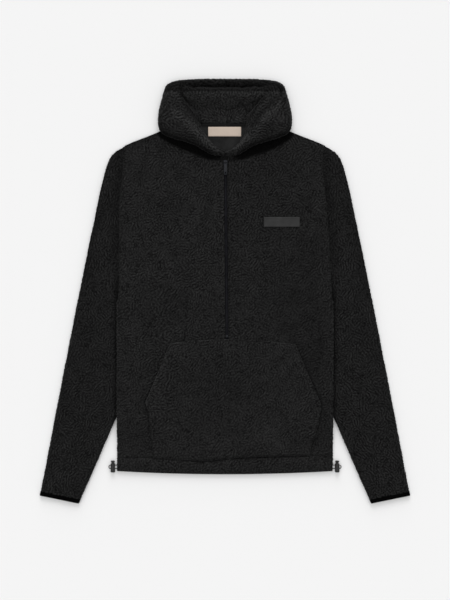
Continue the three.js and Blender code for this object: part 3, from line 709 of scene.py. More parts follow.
def side_turn(side, y):
    """The cloth's turn round a side fold, from the front's level to the end of its return."""
    radius = (LEVEL_TOP - FLEECE) / 2
    angle = np.pi / 2 - np.pi * np.linspace(0, 1, TURN_CELLS + 1)[1:]
    centre = FOLD_X - FLEECE / 2 - radius
    x = np.concatenate([centre + radius * np.cos(angle), np.linspace(centre, RETURN_X, RETURN_CELLS + 1)[1:]])
    z = np.concatenate([FLEECE / 2 + radius + radius * np.sin(angle), np.full(RETURN_CELLS, FLEECE / 2)])
    turn = np.empty((len(y), len(x), 3))
    turn[..., 0] = side * x
    turn[..., 1] = y[:, None]
    turn[..., 2] = z + sleeve_lift(FOLD_X, y)[:, None]
    return turn


def with_turns(x, y, z):
    """A grid of the body with its turns round both side folds."""
    left = side_turn(-1, y[:, 0])[:, ::-1]
    right = side_turn(1, y[:, -1])
    return np.concatenate([left, np.stack([x, y, z], axis=2), right], axis=1)


def front_panel():
    """The front with its zip's slit and neck, turned round both side folds."""
    x, y = body_grid(body_rows())
    middle = with_turns(x, y, front_top(x, y) - FLEECE / 2)
    n = normals(middle)
    height, light = pile(middle, (0, 0))
    x, y = middle[..., 0], middle[..., 1]
    half_width = np.where(x < 0, np.interp(y, BODY_Y, BODY_LEFT), np.interp(y, BODY_Y, BODY_RIGHT))
    from_slit = np.abs(x - zip_x(y)) - SLIT_HALF
    edge = np.minimum.reduce([
        np.where(y > ARMPIT_Y - 4, half_width - np.abs(x), FAR),
        np.where(y > ZIP_TOP_Y, 0.5 * (np.abs(x) - np.interp(y, NECK_Y, NECK_X)), FAR),
        np.where(y > ZIP_BOTTOM_Y, np.abs(from_slit), FAR),
    ])
    sewn = seam_edge(np.maximum(y - hem_seam(x), 0), drawn_in(x))
    offset = (FLEECE / 2 + height) * np.minimum(rounded(edge + 0.15, EDGE_RADIUS), sewn)
    # Painted shade along the front's edges at its armholes, neck and slit
    light *= front_shade(x, y) * (1 - 0.3 * soft_line(edge, 2.5))
    # A painted highlight on the cloth's ridge left of the zip's slit
    left_of_zip = (x < zip_x(y)) * smooth(ZIP_BOTTOM_Y - 4, ZIP_BOTTOM_Y + 4, y)
    light *= 1 + 0.3 * soft_line(from_slit - 2.2, 1.8) * left_of_zip
    present = np.ones(np.array(middle.shape[:2]) // COARSE, bool)
    turn = (TURN_CELLS + RETURN_CELLS) // COARSE
    present[ROWS_BELOW // FINE:, :turn] = False
    present[ROWS_BELOW // FINE:, -turn:] = False
    zip_row = int(np.argmin(np.abs(body_rows()[::COARSE] - ZIP_BOTTOM_Y)))
    present[zip_row:, turn + fine(SIDE_COLUMNS) // COARSE] = False
    return shell("front", middle + n * offset[..., None], middle - n * FLEECE / 2, present, light=light)


def flat_below(name, middle, shift, edge):
    """A panel that lies on the surface: its shown face is the lower one, flat where it rests."""
    height, light = pile(middle, shift)
    outer, inner = middle.copy(), middle.copy()
    outer[..., 2] -= (FLEECE / 2 + height - PILE_TOP) * rounded(edge, EDGE_RADIUS)
    outer[..., 2] = np.maximum(outer[..., 2], 0)
    inner[..., 2] += FLEECE / 2
    return shell(name, outer, inner, light=light, flip=True)


def back_panel():
    """The back, whose sides end short of the front's returns below the armpits."""
    below = np.linspace(HEM_SEAM_Y, ARMPIT_Y, fine(26) + 1)
    above = np.linspace(ARMPIT_Y, NECK_TOP_Y, fine(28) + 1)[1:]
    x, y = body_grid(np.concatenate([below, above]), side_columns=16, with_neck=False)
    limit = RETURN_X - GAP
    x = np.where(y < ARMPIT_Y + 2, np.clip(x, -limit, limit), x)
    top = np.interp(np.abs(x), BACK_NECK_X, BACK_NECK_Y)
    y = y + (top - NECK_TOP_Y) * smooth(280, NECK_TOP_Y, y) ** 2
    middle = np.stack([x, y, sleeve_lift(x, y) + FLEECE / 2], axis=2)
    from_side = np.max(np.abs(x), axis=1, keepdims=True) - np.abs(x)
    return flat_below("back", middle, (150, 90), np.minimum.reduce([from_side, y - y[:1], y[-1:] - y]))


def hem_grid(limit):
    """x and y of a hem band's points from its edge up to its seam, and their share of the way down."""
    x, _ = body_grid(np.array([HEM_SEAM_Y]))
    share = np.linspace(1, 0, 4 * COARSE + 1)[:, None]
    x = np.clip(np.repeat(x, len(share), axis=0), -limit, limit)
    seam = hem_seam(x) - 0.1
    edge = HEM_SIDE_Y + (HEM_MIDDLE_Y - HEM_SIDE_Y) * (1 - (x / FOLD_X) ** 2)
    return x, seam + (edge - seam) * share, share


def hem_back(name):
    x, y, share = hem_grid(RETURN_X - GAP)
    middle = np.stack([x, y, np.full_like(x, FLEECE / 2)], axis=2)
    return flat_below(name, middle, (80, 30), HEM_HEIGHT * np.minimum(1 - share, share) + 0 * x)


def hem_front(name):
    """The hem's front, plump and a little puckered, turned round both side folds."""
    x, y, share = hem_grid(FOLD_X)
    plump = np.sin(np.pi * np.clip(share * 1.1, 0, 1)) ** 0.6
    puckers = 0.5 * np.sin(x / 9.0 + 2 * np.sin(x / 31.0)) * soft_line(share - 0.12, 0.2)
    middle = with_turns(x, y, LEVEL_TOP - FLEECE / 2 + 2.0 * plump + puckers)
    height, light = pile(middle, (40, 10))
    down = HEM_HEIGHT * np.repeat(share, middle.shape[1], axis=1)
    drawn = drawn_in(middle[..., 0])
    ease = np.minimum(rounded(HEM_HEIGHT - down + 0.2, 4.0), seam_edge(down, drawn))
    n = normals(middle)
    outer = middle + n * ((FLEECE / 2 + height) * ease)[..., None]
    return shell(name, outer, middle - n * FLEECE / 2, light=light * seam_light(down, drawn))


def sleeve_courses(side):
    """The rings' courses across the flattened sleeve, and then the armhole's, each as many points."""
    share = np.linspace(0, 1, COURSE_POINTS)[:, None]
    weights = (1 - share) ** 2, share ** 2, 2 * share * (1 - share)
    courses = [sum(weight * ring[2 * k:2 * k + 2] for k, weight in enumerate(weights))
               for ring in SLEEVE_RINGS]
    return courses + [armhole_course(side)]


def armhole_course(side):
    """The points of the armhole's seam, from the shoulder down to the armpit."""
    y = np.linspace(ARMHOLE_TOP_Y, ARMPIT_Y, COURSE_POINTS)
    return np.stack([np.interp(y, BODY_Y, BODY_LEFT if side < 0 else BODY_RIGHT) + 0.05, y], axis=1)


def along_course(course, shares):
    """The points at shares of a course's length."""
    length = lengths(course)
    at = shares * length[-1]
    return np.stack([np.interp(at, length, course[:, k]) for k in (0, 1)], axis=1)


def lengths(points, shortest=0):
    """How far along a line each of its points lies, with no step shorter than the shortest."""
    steps = np.maximum(np.linalg.norm(np.diff(points, axis=0), axis=1), shortest)
    return np.concatenate([[0], np.cumsum(steps)])


def sleeve_ring(course, half, top, under, end):
    """The points round the flattened tube at a course: over its top, and back along its underside."""
    length = lengths(course)[-1]
    near = half * (1 - np.cos(np.linspace(0, np.pi / 2, end + 1))) / length
    far = 1 - near[::-1]
    above = np.concatenate([near, np.linspace(near[-1], far[0], top + 1)[1:], far[1:]])
    below = np.concatenate([near[1:], np.linspace(near[-1], far[0], under + 1)[1:], far[1:-1]])[::-1]
    heights = [half * rounded(np.minimum(share, 1 - share) * length, half) for share in (above, below)]
    return np.concatenate([
        np.column_stack([along_course(course, above), half + heights[0]]),
        np.column_stack([along_course(course, below), half - heights[1]]),
    ])


def sleeve(name, side):
    """A flattened tube through the rings, with rounded edges; its underside lies flat."""
    top, under = fine(28), fine(12)
    halves = np.append(SLEEVE_RINGS[:, 6], LEVEL_TOP / 2)
    rings = [sleeve_ring(*ring, top, under, COARSE) for ring in zip(sleeve_courses(side), halves)]
    places = ring_places(fine(72))
    grid = spline(np.array(rings), places)
    grid[..., 2] = np.maximum(grid[..., 2], 0)
    x, y, z = (grid[..., k] for k in range(3))
    grid[..., 2] += smooth(3, 6, z) * creases(x, y, SLEEVE_CREASES)
    n = normals(grid, around=True)
    n = -n if n[len(n) // 2, top // 2, 2] < 0 else n
    height, light = pile(grid, (210 * side, 60))
    from_ends = np.minimum(np.arange(len(grid)), np.arange(len(grid))[::-1]) * 2.4 * FINE
    ease = rounded(from_ends, EDGE_RADIUS)[:, None]
    outer = grid + n * (height * ease - 1.6 * (1 - ease))[..., None]
    outer[..., 2] = np.maximum(outer[..., 2], 0)
    thickness = 2 * np.interp(places, np.arange(len(halves)), halves)
    inner = grid - n * np.minimum(FLEECE, 0.42 * thickness)[:, None, None]
    inner[..., 2] = np.maximum(inner[..., 2], 0.4)
    # Painted shadow on the sleeve beside the body's side fold, where it passes beneath
    light *= 1 - 0.6 * soft_line(np.abs(x) - FOLD_X, 6) * smooth(70, -20, y) * smooth(-345, -320, y)
    light *= SLEEVE_LIGHT * crease_light(x, y, SLEEVE_CREASES)
    # Painted shade on the sleeve near the armhole
    by_armhole = distance_to(armhole_course(side)[::40], x, y)
    light *= 1 - 0.36 * soft_line(by_armhole, 20) * smooth(20, 90, y)
    # Painted shade where the sleeve's ends turn under
    light *= 1 - 0.3 * (1 - ease)
    mirror(side, outer, inner)
    return shell(name, outer, inner, around=True, light=light, flip=side > 0)


def ring_places(cells):
    """Places along the sleeve, in rings, evenly spaced by its middle line."""
    middle = np.vstack([(SLEEVE_RINGS[:, 0:2] + SLEEVE_RINGS[:, 4:6]) / 2, [ARMHOLE_MIDDLE]])
    length = lengths(middle, shortest=18)
    return np.interp(np.linspace(0, length[-1], cells + 1), length, np.arange(len(middle)))


def cuff_binding(name, side):
    """A band of folded elastic that closes the sleeve's edge, with fine ribs round it."""
    starts, ends = SLEEVE_RINGS[0, :4].reshape(2, 2), np.array([CUFF_OUTER, CUFF_INNER])
    rows, columns = 3 * COARSE, 36 * COARSE
    angle = np.linspace(0, 2 * np.pi, columns, endpoint=False)
    reach = np.abs(np.cos(angle)) ** 0.08 * np.sign(np.cos(angle))
    up = np.abs(np.sin(angle)) ** 0.5 * np.sign(np.sin(angle))
    half = 3.5
    outer, inner = np.empty((2, rows + 1, columns, 3))
    for j, t in enumerate(np.linspace(1, -0.35, rows + 1)):
        a, b = starts + (ends - starts) * t
        width = np.linalg.norm(b - a)
        bulge = 0.5 * np.sin(np.pi * np.clip(1 - t, 0, 1)) + 0.3 * smooth(0.3, -0.2, t)
        for skin, radius in ((outer, half + bulge - 0.35), (inner, half - 2.6)):
            across = 0.5 - 0.5 * reach * (width - 2 * (half - radius)) / width
            skin[j, :, 0:2] = a + (b - a) * across[:, None]
            skin[j, :, 2] = half + radius * up
    ribs = 0.12 * np.sin(np.arange(columns) * np.pi / 2)
    outer[..., 2] = np.maximum(outer[..., 2] + ribs * np.sign(outer[..., 2] - half), 0)
    mirror(side, outer, inner)
    return shell(name, outer, inner, around=True, flip=side < 0)


def hood_sections(side):
    """Points across the hood at each of its sections, from its turned-in edge over the fold to its seam."""
    sections = []
    for k, (ex, ey, fold, rx, ry, rz, crest, sx, sy, sz) in enumerate(HOOD):
        shift = np.interp(k, RIM_SECTIONS, RIM_SHIFT[side])
        rim, edge, seam = np.array([rx + shift, ry]), np.array([ex, ey]), np.array([sx, sy])
        tuck = HOOD_TUCK[k] + np.array([0.7 * shift, 0])
        out = (edge - rim) / np.linalg.norm(edge - rim)
        centre = edge - out * (FLEECE / 2 + fold)
        top = sz + 2 * fold
        crown = smooth(*CROWN, k)
        low = 7.6 - 1.7 * smooth(346, 356, tuck[1]) - 1.8 * crown
        ridge = rim + (centre - rim) * np.interp(k, RIDGE_SECTIONS, RIDGE_SHARE[side])
        ridge_z = (rz + top) / 2 + crest + 0.6 * (1 - crown)
        rim_z = rz - RIM_DROP * (1 - 0.6 * crown)
        slope_z = low + (rim_z - low) * (0.5 + 0.1 * crown)
        turns = [math.radians(degrees) for degrees in (60, 20, -20, -60)]
        sections.append([
            [*tuck, low],
            [*(tuck * 0.55 + rim * 0.45), slope_z],
            [*rim, rim_z],
            [*ridge, ridge_z],
            [*(ridge + centre) / 2, 0.45 * ridge_z + 0.55 * top + 0.6 * (1 - crown)],
            [*centre, top],
            *([*(centre + out * fold * math.cos(turn)), sz + fold * (1 + math.sin(turn))] for turn in turns),
            [*centre, sz],
            [*(centre + seam) / 2, sz],
            [sx, sy, sz],
        ])
    return np.array(sections)


def section_places(cells):
    """Places along a hood section, counted in its points, closer together round its fold."""
    return np.interp(np.linspace(0, SECTION_WEIGHTS[-1], cells + 1), SECTION_WEIGHTS, range(HOOD_SEAM + 1))


def hood_places(rows):
    """Places along the hood, counted in its sections, evenly spaced round its edge."""
    length = lengths((HOOD[:, 0:2] + HOOD[:, 3:5]) / 2)
    return np.interp(np.linspace(0, length[-1], rows + 1), length, np.arange(len(HOOD)))


def crevice(side, x, y):
    """The uneven hollow between the hood's rim and its crown: 1 in its middle line, 0 away from it."""
    across = side * x
    low, high = CREVICE_X
    inside = smooth(low - 14, low + 8, across) * smooth(high + 14, high - 8, across)
    middle = CREVICE_Y + 1.2 * np.sin(across / 8.0 + 0.7) + 0.6 * np.sin(across / 3.1)
    width = 4.8 * (1 + 0.22 * np.sin(across / 6.5 + 1) + 0.15 * np.sin(across / 2.7))
    return inside * soft_line(y - middle, width)


def hood(name, side):
    """Half of the hood. Places s count its sections, and places t the points of a section."""
    rows, columns = fine(42), fine(32)
    t = section_places(columns)[None, :]
    s = hood_places(rows)[:, None]
    along = spline(hood_sections(side).transpose(1, 0, 2), t[0]).transpose(1, 0, 2)
    grid = spline(along, s[:, 0])
    x, y = grid[..., 0], grid[..., 1]
    upper = 1 - smooth(5.2, 5.9, t)
    hollow = crevice(side, x, y) * upper * smooth(10.5, 12, s)
    grid[..., 2] += creases(x, y, HOOD_CREASES[side]) * upper - CREVICE_DEPTH * hollow
    grid[..., 2] = np.maximum(grid[..., 2], FLEECE / 2)
    n = normals(grid)
    n = n if n[rows // 3, int(columns * 0.3), 2] > 0 else -n
    crown = smooth(*CROWN, s)
    edge = np.minimum((HOOD_SEAM - t) * 28.0 + 0 * s, np.where(s > 11, x + 2.4, FAR))
    by_tuck = rounded(t * 9.0 + 1.0, EDGE_RADIUS) * (1 - crown) + np.clip(t / 1.3, 0.03, 1) * crown
    ease = np.minimum(rounded(edge, EDGE_RADIUS), by_tuck)
    height, light = pile(grid, (33 * side, 300))
    height_in, light_in = pile(grid, (-57 * side, 140))
    outer = grid + n * ((FLEECE / 2 + height) * ease)[..., None]
    inner = grid - n * ((FLEECE / 2 + height_in) * ease)[..., None]
    fold_shades = [soft_line(distance_to(line, x, y), width) for line, width in INNER_FOLD_SHADES[side]]
    light *= hood_light(side, x, y, s, t, upper, hollow)
    light_in = HOOD_INNER_LIGHT * (MEAN_LIGHT + 1.3 * (light_in - MEAN_LIGHT))
    # Painted shade on the inside along the seam at the back of the neck
    light_in *= 1 - 0.55 * soft_line(y - HOOD[9, 8], 3.4)
    # Painted shade along the inside's folds, on both faces near the turned-in edge
    for fold in fold_shades:
        light *= 1 - 0.55 * fold * smooth(2.5, 1.8, t)
        light_in *= 1 - 0.6 * fold
    for skin in (outer, inner):
        skin[..., 0] -= CENTRE_OVERLAP * smooth(3, 0, x)
        skin[..., 2] = np.maximum(skin[..., 2], 0)
    mirror(side, outer, inner)
    return double_shell(name, outer, inner, light, light_in, flip=side < 0)


def hood_light(side, x, y, s, t, upper, hollow):
    """How light the hood's outside is: painted highlights on its rim and ridges, painted shade in its
    crevice, valleys and creases, behind its rim and towards its lower edge, and darker towards the V.
    """
    crown = smooth(*CROWN, s)
    # Painted shade in the crevice
    light = HOOD_LIGHT * (1 - 0.97 * hollow)
    # Painted highlights on the rim's ridges and painted shade in its valleys
    for line, width, gain in RIM_HIGHLIGHTS_AND_SHADES[side]:
        light *= 1 + gain * soft_line(distance_to(line, x, y), width) * upper * (1 - crown)
    # Painted shade on the slope inside the rim at the sides, and a painted highlight on it at the crown
    light *= 1 + (-0.16 + 0.5 * crown) * smooth(2.4, 1.8, t)
    # A painted highlight along the rim's band at the crown
    light *= 1 + 0.32 * smooth(9, 11, s) * soft_line(y - RIM_BAND_Y, 6)
    # Painted shade on the crown behind the rim
    behind_rim_shade = smooth(415.5, 418.5, y) * smooth(9, 10.5, s)
    light *= 1 - (0.45 + 0.25 * soft_line(y - 420, 5)) * behind_rim_shade
    light *= 1 - 0.5 * smooth(1.7, 0.3, s)
    # Painted shade towards the hood's lower edge
    by_edge = distance_to(HOOD[1:8, :2], x, y)
    low_part = smooth(7.5, 6, s) * smooth(0, 1.2, s) * smooth(2.6, 3.4, t)
    fade = 0.5 * (1 - smooth(0, EDGE_FADE[side], by_edge)) + 0.46 * (1 - smooth(1.5, 9, by_edge))
    light *= 1 - low_part * fade
    # Painted shade in the hood's creases
    return light * np.clip(1 + 0.26 * creases(x, y, HOOD_CREASES[side]) * upper, 0.25, 1)


def double_shell(name, outer, inner, light, light_in, flip=False):
    """A closed shell whose two faces both keep all their points."""
    rows, columns = outer.shape[:2]
    first = np.arange(rows * columns).reshape(rows, columns)
    second = first + rows * columns
    faces = quads(first).tolist() + quads(second)[:, ::-1].tolist()
    a, b = (np.concatenate([ids[0, :], ids[1:, -1], ids[-1, -2::-1], ids[-2:0:-1, 0]])
            for ids in (first, second))
    faces += np.stack([np.roll(a, -1), a, b, np.roll(b, -1)], axis=1).tolist()
    points = np.concatenate([outer.reshape(-1, 3), inner.reshape(-1, 3)])
    shade = np.concatenate([light.reshape(-1), light_in.reshape(-1)])
    return mesh_object(name, points, faces, shade, flip)


def pocket():
    """The kangaroo pocket: sewn down all round but for its two slanted mouths, where it stands off."""
    rows, columns = fine(28), fine(42)
    v = np.linspace(POCKET_BOTTOM_Y, POCKET_SIDE_Y, rows + 1)[:, None]
    left = np.interp(v, POCKET_LEFT_Y, POCKET_LEFT_X)
    right = np.interp(v, POCKET_RIGHT_Y, POCKET_RIGHT_X)
    x = left + (right - left) * np.linspace(0, 1, columns + 1)
    y = np.repeat(v, columns + 1, axis=1)
    y = y + (np.interp(x, POCKET_TOP_X, POCKET_TOP_Y) - POCKET_SIDE_Y) * smooth(-170, POCKET_SIDE_Y, y)
    y = y + (hem_seam(x) + 0.5 - POCKET_BOTTOM_Y) * (1 - smooth(POCKET_BOTTOM_Y, SAG_TOP_Y, y))
    from_side = np.minimum(x - left, right - x)
    from_bottom, from_top = y - y[:1], y[-1:] - y
    on_left, on_right = x < 0, x > 0
    drawn = drawn_in(x)
    mouth = soft_line(y + 175, 42)
    lift = 2.6 * mouth * soft_line(from_side, 16)
    slump = np.abs(0.9 * np.sin(x / 27.0 + 1.3) * soft_line(y + 330, 40))
    thickness = 1.2 + (FLEECE - 1.2) * rounded(from_bottom, 14)
    z = front_top(x, y) + GAP + thickness / 2 + (lift + slump) * smooth(0, 25, from_bottom)
    middle = np.stack([x, y, z], axis=2)
    height, light = pile(middle, (120, 210))
    sewn = rounded(from_bottom + 0.3, 0.8 + 3 * drawn)
    groove = -0.7 * soft_line(from_side - 17, 2.4) * mouth * on_right
    top_seam = -0.9 * soft_line(from_top - 2.4, 1.5) * smooth(2, 10, x) * smooth(104, 92, x)
    ease = np.minimum(rounded(np.minimum(from_side, from_top) + 0.3, 3.4), sewn)
    offset = np.maximum((thickness / 2 + height + groove + top_seam) * ease, 0.1)
    # Painted highlights along the pocket's upper left edge and its top, and painted shade along its other
    # edges, in its grooves and beside the seam above the hem
    upper_left = smooth(-250, -225, y) * on_left
    low_left = smooth(-225, -245, y) * soft_line(y + 255, 26) * on_left
    edge_highlight = soft_line(from_side - 9, 8) * upper_left + 0.8 * soft_line(from_top - 4, 5)
    light *= (1.02 + 0.14 * edge_highlight + 0.05 * on_right * mouth) * (1 + 0.2 * groove + 0.5 * top_seam)
    edge_shade = 0.1 + 0.4 * low_left + 0.25 * on_right - 0.45 * upper_left
    light *= 1 - edge_shade * soft_line(from_side, 2.0)
    light *= 1 + creases(x, y, POCKET_TONES)
    light *= 1 - (0.1 + 0.5 * drawn) * soft_line(y - hem_seam(x), 3.0)
    n = normals(middle)
    outer, inner = middle + n * offset[..., None], middle - n * thickness[..., None] / 2
    return shell("pocket_bag", outer, inner, light=light)


def border_distance(x, y):
    """How far in from a grid's border each of its points lies."""
    sides = x - x[:, :1], x[:, -1:] - x, y - y[:1], y[-1:] - y
    return np.minimum.reduce([np.abs(distance) for distance in sides])


def slab(name, x, y, low, thickness, edge_radius=0.8, wave=0.0, light=1.0):
    """A thin piece on a grid of x and y: rounded at its border, low is the height of its underside."""
    from_border = border_distance(x, y)
    top = low + thickness * (0.35 + 0.65 * rounded(from_border, edge_radius))
    top = top + wave * rounded(from_border, edge_radius * 2)
    outer = np.stack([x, y, top], axis=2)
    inner = np.stack([x, y, low + 0 * x], axis=2)
    return shell(name, outer, inner, light=light + 0 * x)


def facing():
    """The smooth cloth inside the neck, whose upper edge covers the seam with the hood."""
    x = np.linspace(-FACING_HALF, FACING_HALF, 26 * COARSE + 1)
    low_y = np.interp(np.abs(x), NECK_X, NECK_Y) + 2
    high_y = np.interp(np.abs(x), BACK_NECK_X, BACK_NECK_Y) + FACING_OVER
    rows = 8 * COARSE
    x = np.repeat(x[None], rows + 1, axis=0)
    y = low_y + (high_y - low_y) * np.linspace(0, 1, rows + 1)[:, None]
    soft = 0.2 * np.sin(x / 17 + y / 23) + 0.15 * np.sin(x / 41 - y / 13)
    # Painted shadow below the seam with the hood, and painted shade along the facing's border
    seam_shadow = 0.6 * soft_line(high_y - y - 3, 5)
    light = (1 - seam_shadow) * (1 - 0.3 * soft_line(border_distance(x, y), 2.0))
    return slab("facing", x, y, FLEECE + GAP, LINING, 1.2, wave=soft, light=light)


def rectangle_grid(left, right, bottom, top, columns, rows):
    """x and y of an even grid over a rectangle."""
    x = left + (right - left) * np.linspace(0, 1, columns + 1)
    y = bottom + (top - bottom) * np.linspace(0, 1, rows + 1)
    return np.repeat(x[None], rows + 1, axis=0), np.repeat(y[:, None], columns + 1, axis=1)


def add_rod(points, faces, rings, inside_out=False):
    """Adds to a mesh a closed rod through rings of points."""
    base, sides = len(points), len(rings[0])
    points += [point for ring in rings for point in ring]
    made = []
    for k in range(len(rings) - 1):
        for q in range(sides):
            i, j = base + k * sides + q, base + k * sides + (q + 1) % sides
            made.append([i, i + sides, j + sides, j])
    last = base + (len(rings) - 1) * sides
    made.append([base + q for q in range(sides)])
    made.append([last + q for q in range(sides)][::-1])
    faces += [face[::-1] for face in made] if inside_out else made


def stitches(name, runs, radius, length, gap=0.7):
    """Thread stitches along straight runs (x0, y0, x1, y1, z), as one mesh of small humped rods."""
    points, faces = [], []
    steps = 6
    angles = [2 * math.pi * q / ROD_SIDES for q in range(ROD_SIDES)]
    for x0, y0, x1, y1, z in runs:
        a, b = np.array([x0, y0]), np.array([x1, y1])
        span = np.linalg.norm(b - a)
        count = max(1, int(span / (length + gap)))
        along = (b - a) / span
        aside = np.array([-along[1], along[0]])
        for k in range(count):
            start = a + along * (k * span / count + gap / 2)
            rings = []
            for t in np.linspace(0, 1, steps + 1):
                centre = start + along * length * t
                high = z + 0.35 * math.sin(math.pi * t)
                r = radius * (0.55 + 0.45 * math.sin(math.pi * min(max(t, 0.05), 0.95)))
                rings.append([[*(centre + aside * r * math.cos(angle)), high + r * math.sin(angle)]
                              for angle in angles])
            add_rod(points, faces, rings)
    return mesh_object(name, np.array(points), faces)


def neck_label():
    """The bare neck label, and the stitches at its two ends."""
    left, right, bottom, top = LABEL
    x, y = rectangle_grid(*LABEL, 18 * COARSE, 5 * COARSE)
    bend = 0.35 * np.sin((x - left) / (right - left) * np.pi * 1.5) + 0.15 * np.sin(y / 5)
    low = FLEECE + GAP + LINING + GAP
    label = slab("label", x, y, low, 0.6, 0.6, wave=0.5 * bend + 0.2)
    ends = [(at, bottom + 1.2, at, top - 1.2, low + 0.62) for at in (left + 1.6, right - 1.6)]
    return label, stitches("label_stitches", ends, radius=0.2, length=1.9)


def chest_patch():
    """The bare chest patch with its raised rim, and the stitches round it."""
    left, right, bottom, top = PATCH
    x, y = rectangle_grid(*PATCH, 20 * COARSE, 6 * COARSE)
    from_border = border_distance(x, y)
    rim = 0.35 * soft_line(from_border - 0.9, 0.5)
    low = LEVEL_TOP + GAP + creases(x, y, CREASES)
    patch = slab("patch", x, y, low, 1.2, 0.9, wave=rim - 0.1 * smooth(1.6, 2.6, from_border))
    inset = 2.1
    left, right, bottom, top = left + inset, right - inset, bottom + inset, top - inset
    z = float(np.mean(low)) + 1.12
    runs = [(left, bottom, right, bottom, z), (left, top, right, top, z), (left, bottom, left, top, z),
            (right, bottom, right, top, z)]
    return patch, stitches("patch_stitches", runs, radius=0.17, length=1.7)


def add_cord(name, side):
    """The loop of the drawcord that shows at one side of the hem."""
    curve = bpy.data.curves.new(name, "CURVE")
    curve.dimensions = "3D"
    curve.bevel_depth = DRAWCORD_MM / 2 * MM
    curve.bevel_resolution = 5
    curve.use_fill_caps = True
    line = curve.splines.new("POLY")
    line.points.add(len(CORD_ROUTE) - 1)
    for target, (x, y) in zip(line.points, CORD_ROUTE):
        target.co = (side * x * MM, y * MM, LOCK_Z * MM, 1)
    return add_object(name, curve)


def zip_coils():
    """The zip's two closed rows of coils, as one joined mesh of small bars."""
    points, faces = [], []
    ring = np.linspace(0, 2 * np.pi, ROD_SIDES, endpoint=False)
    for k, y in enumerate(np.arange(ZIP_BOTTOM_Y + 3, COIL_TOP_Y, COIL_PITCH / 2)):
        side = -1 if k % 2 else 1
        rings = [[[zip_x(y) + side * aside, y + 0.5 * math.cos(angle), z + 0.36 * math.sin(angle)]
                  for angle in ring] for aside, z in COIL_BAR]
        add_rod(points, faces, rings, inside_out=side < 0)
    return mesh_object("zip_coils", np.array(points), faces)


def zip_tape(name, side):
    """One tape of the zip, behind the slit."""
    rows, columns = 45 * COARSE, 3 * COARSE
    y = np.linspace(ZIP_BOTTOM_Y - 5, ZIP_TOP_Y, rows + 1)[:, None]
    x = zip_x(y) + np.linspace(*sorted((side * 0.15, side * 12)), columns + 1)
    return slab(name, x, np.repeat(y, columns + 1, axis=1), FLEECE + GAP, 0.9, 0.4)


def tidy_mesh(piece):
    """Joins the points that meet and turns all faces outward."""
    work = bmesh.new()
    work.from_mesh(piece.data)
    bmesh.ops.remove_doubles(work, verts=work.verts, dist=0.001 * MM)
    bmesh.ops.dissolve_degenerate(work, edges=work.edges, dist=0.001 * MM)
    bmesh.ops.recalc_face_normals(work, faces=work.faces)
    work.to_mesh(piece.data)
    work.free()
    return piece


def bake(piece):
    """Puts what its modifiers make into a piece's own mesh."""
    evaluated = piece.evaluated_get(bpy.context.evaluated_depsgraph_get())
    mesh = bpy.data.meshes.new_from_object(evaluated)
    piece.modifiers.clear()
    piece.data = mesh
    return piece


def prism(outline, low, high, along="Z"):
    """A solid of one outline. Along Z the outline is x and y, along X it is y and z."""
    count = len(outline)
    ends = [[(a, b, height) for a, b in outline] for height in (low, high)]
    points = np.array(ends).reshape(-1, 3)
    points = points[:, [2, 0, 1]] if along == "X" else points
    faces = [[i, (i + 1) % count, (i + 1) % count + count, i + count] for i in range(count)]
    faces += [list(range(count))[::-1], list(range(count, 2 * count))]
    return tidy_mesh(mesh_object("solid", points, faces))


def turned(profile, x, y, z):
    """A solid turned about a line along Y, from its radii and its places along that line."""
    steps = 48
    angle = np.linspace(0, 2 * np.pi, steps, endpoint=False)
    rings = [np.stack([x + r * np.cos(angle), y + up + 0 * angle, z + r * np.sin(angle)], axis=1)
             for r, up in profile]
    ids = np.arange(len(rings) * steps).reshape(len(rings), steps)
    faces = quads(np.concatenate([ids, ids[:, :1]], axis=1)).tolist()
    return tidy_mesh(mesh_object("solid", np.concatenate(rings), faces))


def circle(x, y, radius, sides=28):
    """The points of a circle."""
    angles = np.linspace(0, 2 * np.pi, sides, endpoint=False)
    return [(x + radius * math.cos(a), y + radius * math.sin(a)) for a in angles]


def rounded_box(left, right, bottom, top, corner):
    """The points of a rectangle with round corners, from its lower right corner on."""
    left, right, bottom, top = left + corner, right - corner, bottom + corner, top - corner
    outline = []
    for x, y, start in ((right, bottom, -90), (right, top, 0), (left, top, 90), (left, bottom, 180)):
        for step in range(CORNER_POINTS):
            angle = math.radians(start + 90 * step / (CORNER_POINTS - 1))
            outline.append((x + corner * math.cos(angle), y + corner * math.sin(angle)))
    return outline


def cut(piece, cutter):
    """A piece with a cutter's form taken out of it."""
    modifier = piece.modifiers.new("cut", "BOOLEAN")
    modifier.operation = "DIFFERENCE"
    modifier.solver = "EXACT"
    modifier.object = cutter
    bake(piece)
    bpy.data.objects.remove(cutter)
    return piece


def round_edges(piece, width):
    """A piece with its sharp edges rounded."""
    modifier = piece.modifiers.new("round", "BEVEL")
    modifier.width = width * MM
    modifier.segments = 3
    modifier.limit_method = "ANGLE"
    modifier.angle_limit = math.radians(38)
    return bake(piece)


def joined(name, parts):
    """One smoothly shaded object from several."""
    work = bmesh.new()
    for part in parts:
        work.from_mesh(part.data)
        bpy.data.objects.remove(part)
    mesh = bpy.data.meshes.new(name)
    work.to_mesh(mesh)
    work.free()
    mesh.polygons.foreach_set("use_smooth", np.ones(len(mesh.polygons), bool))
    made = add_object(name, mesh)
    made.modifiers.new("normals", "WEIGHTED_NORMAL")
    return bake(made)


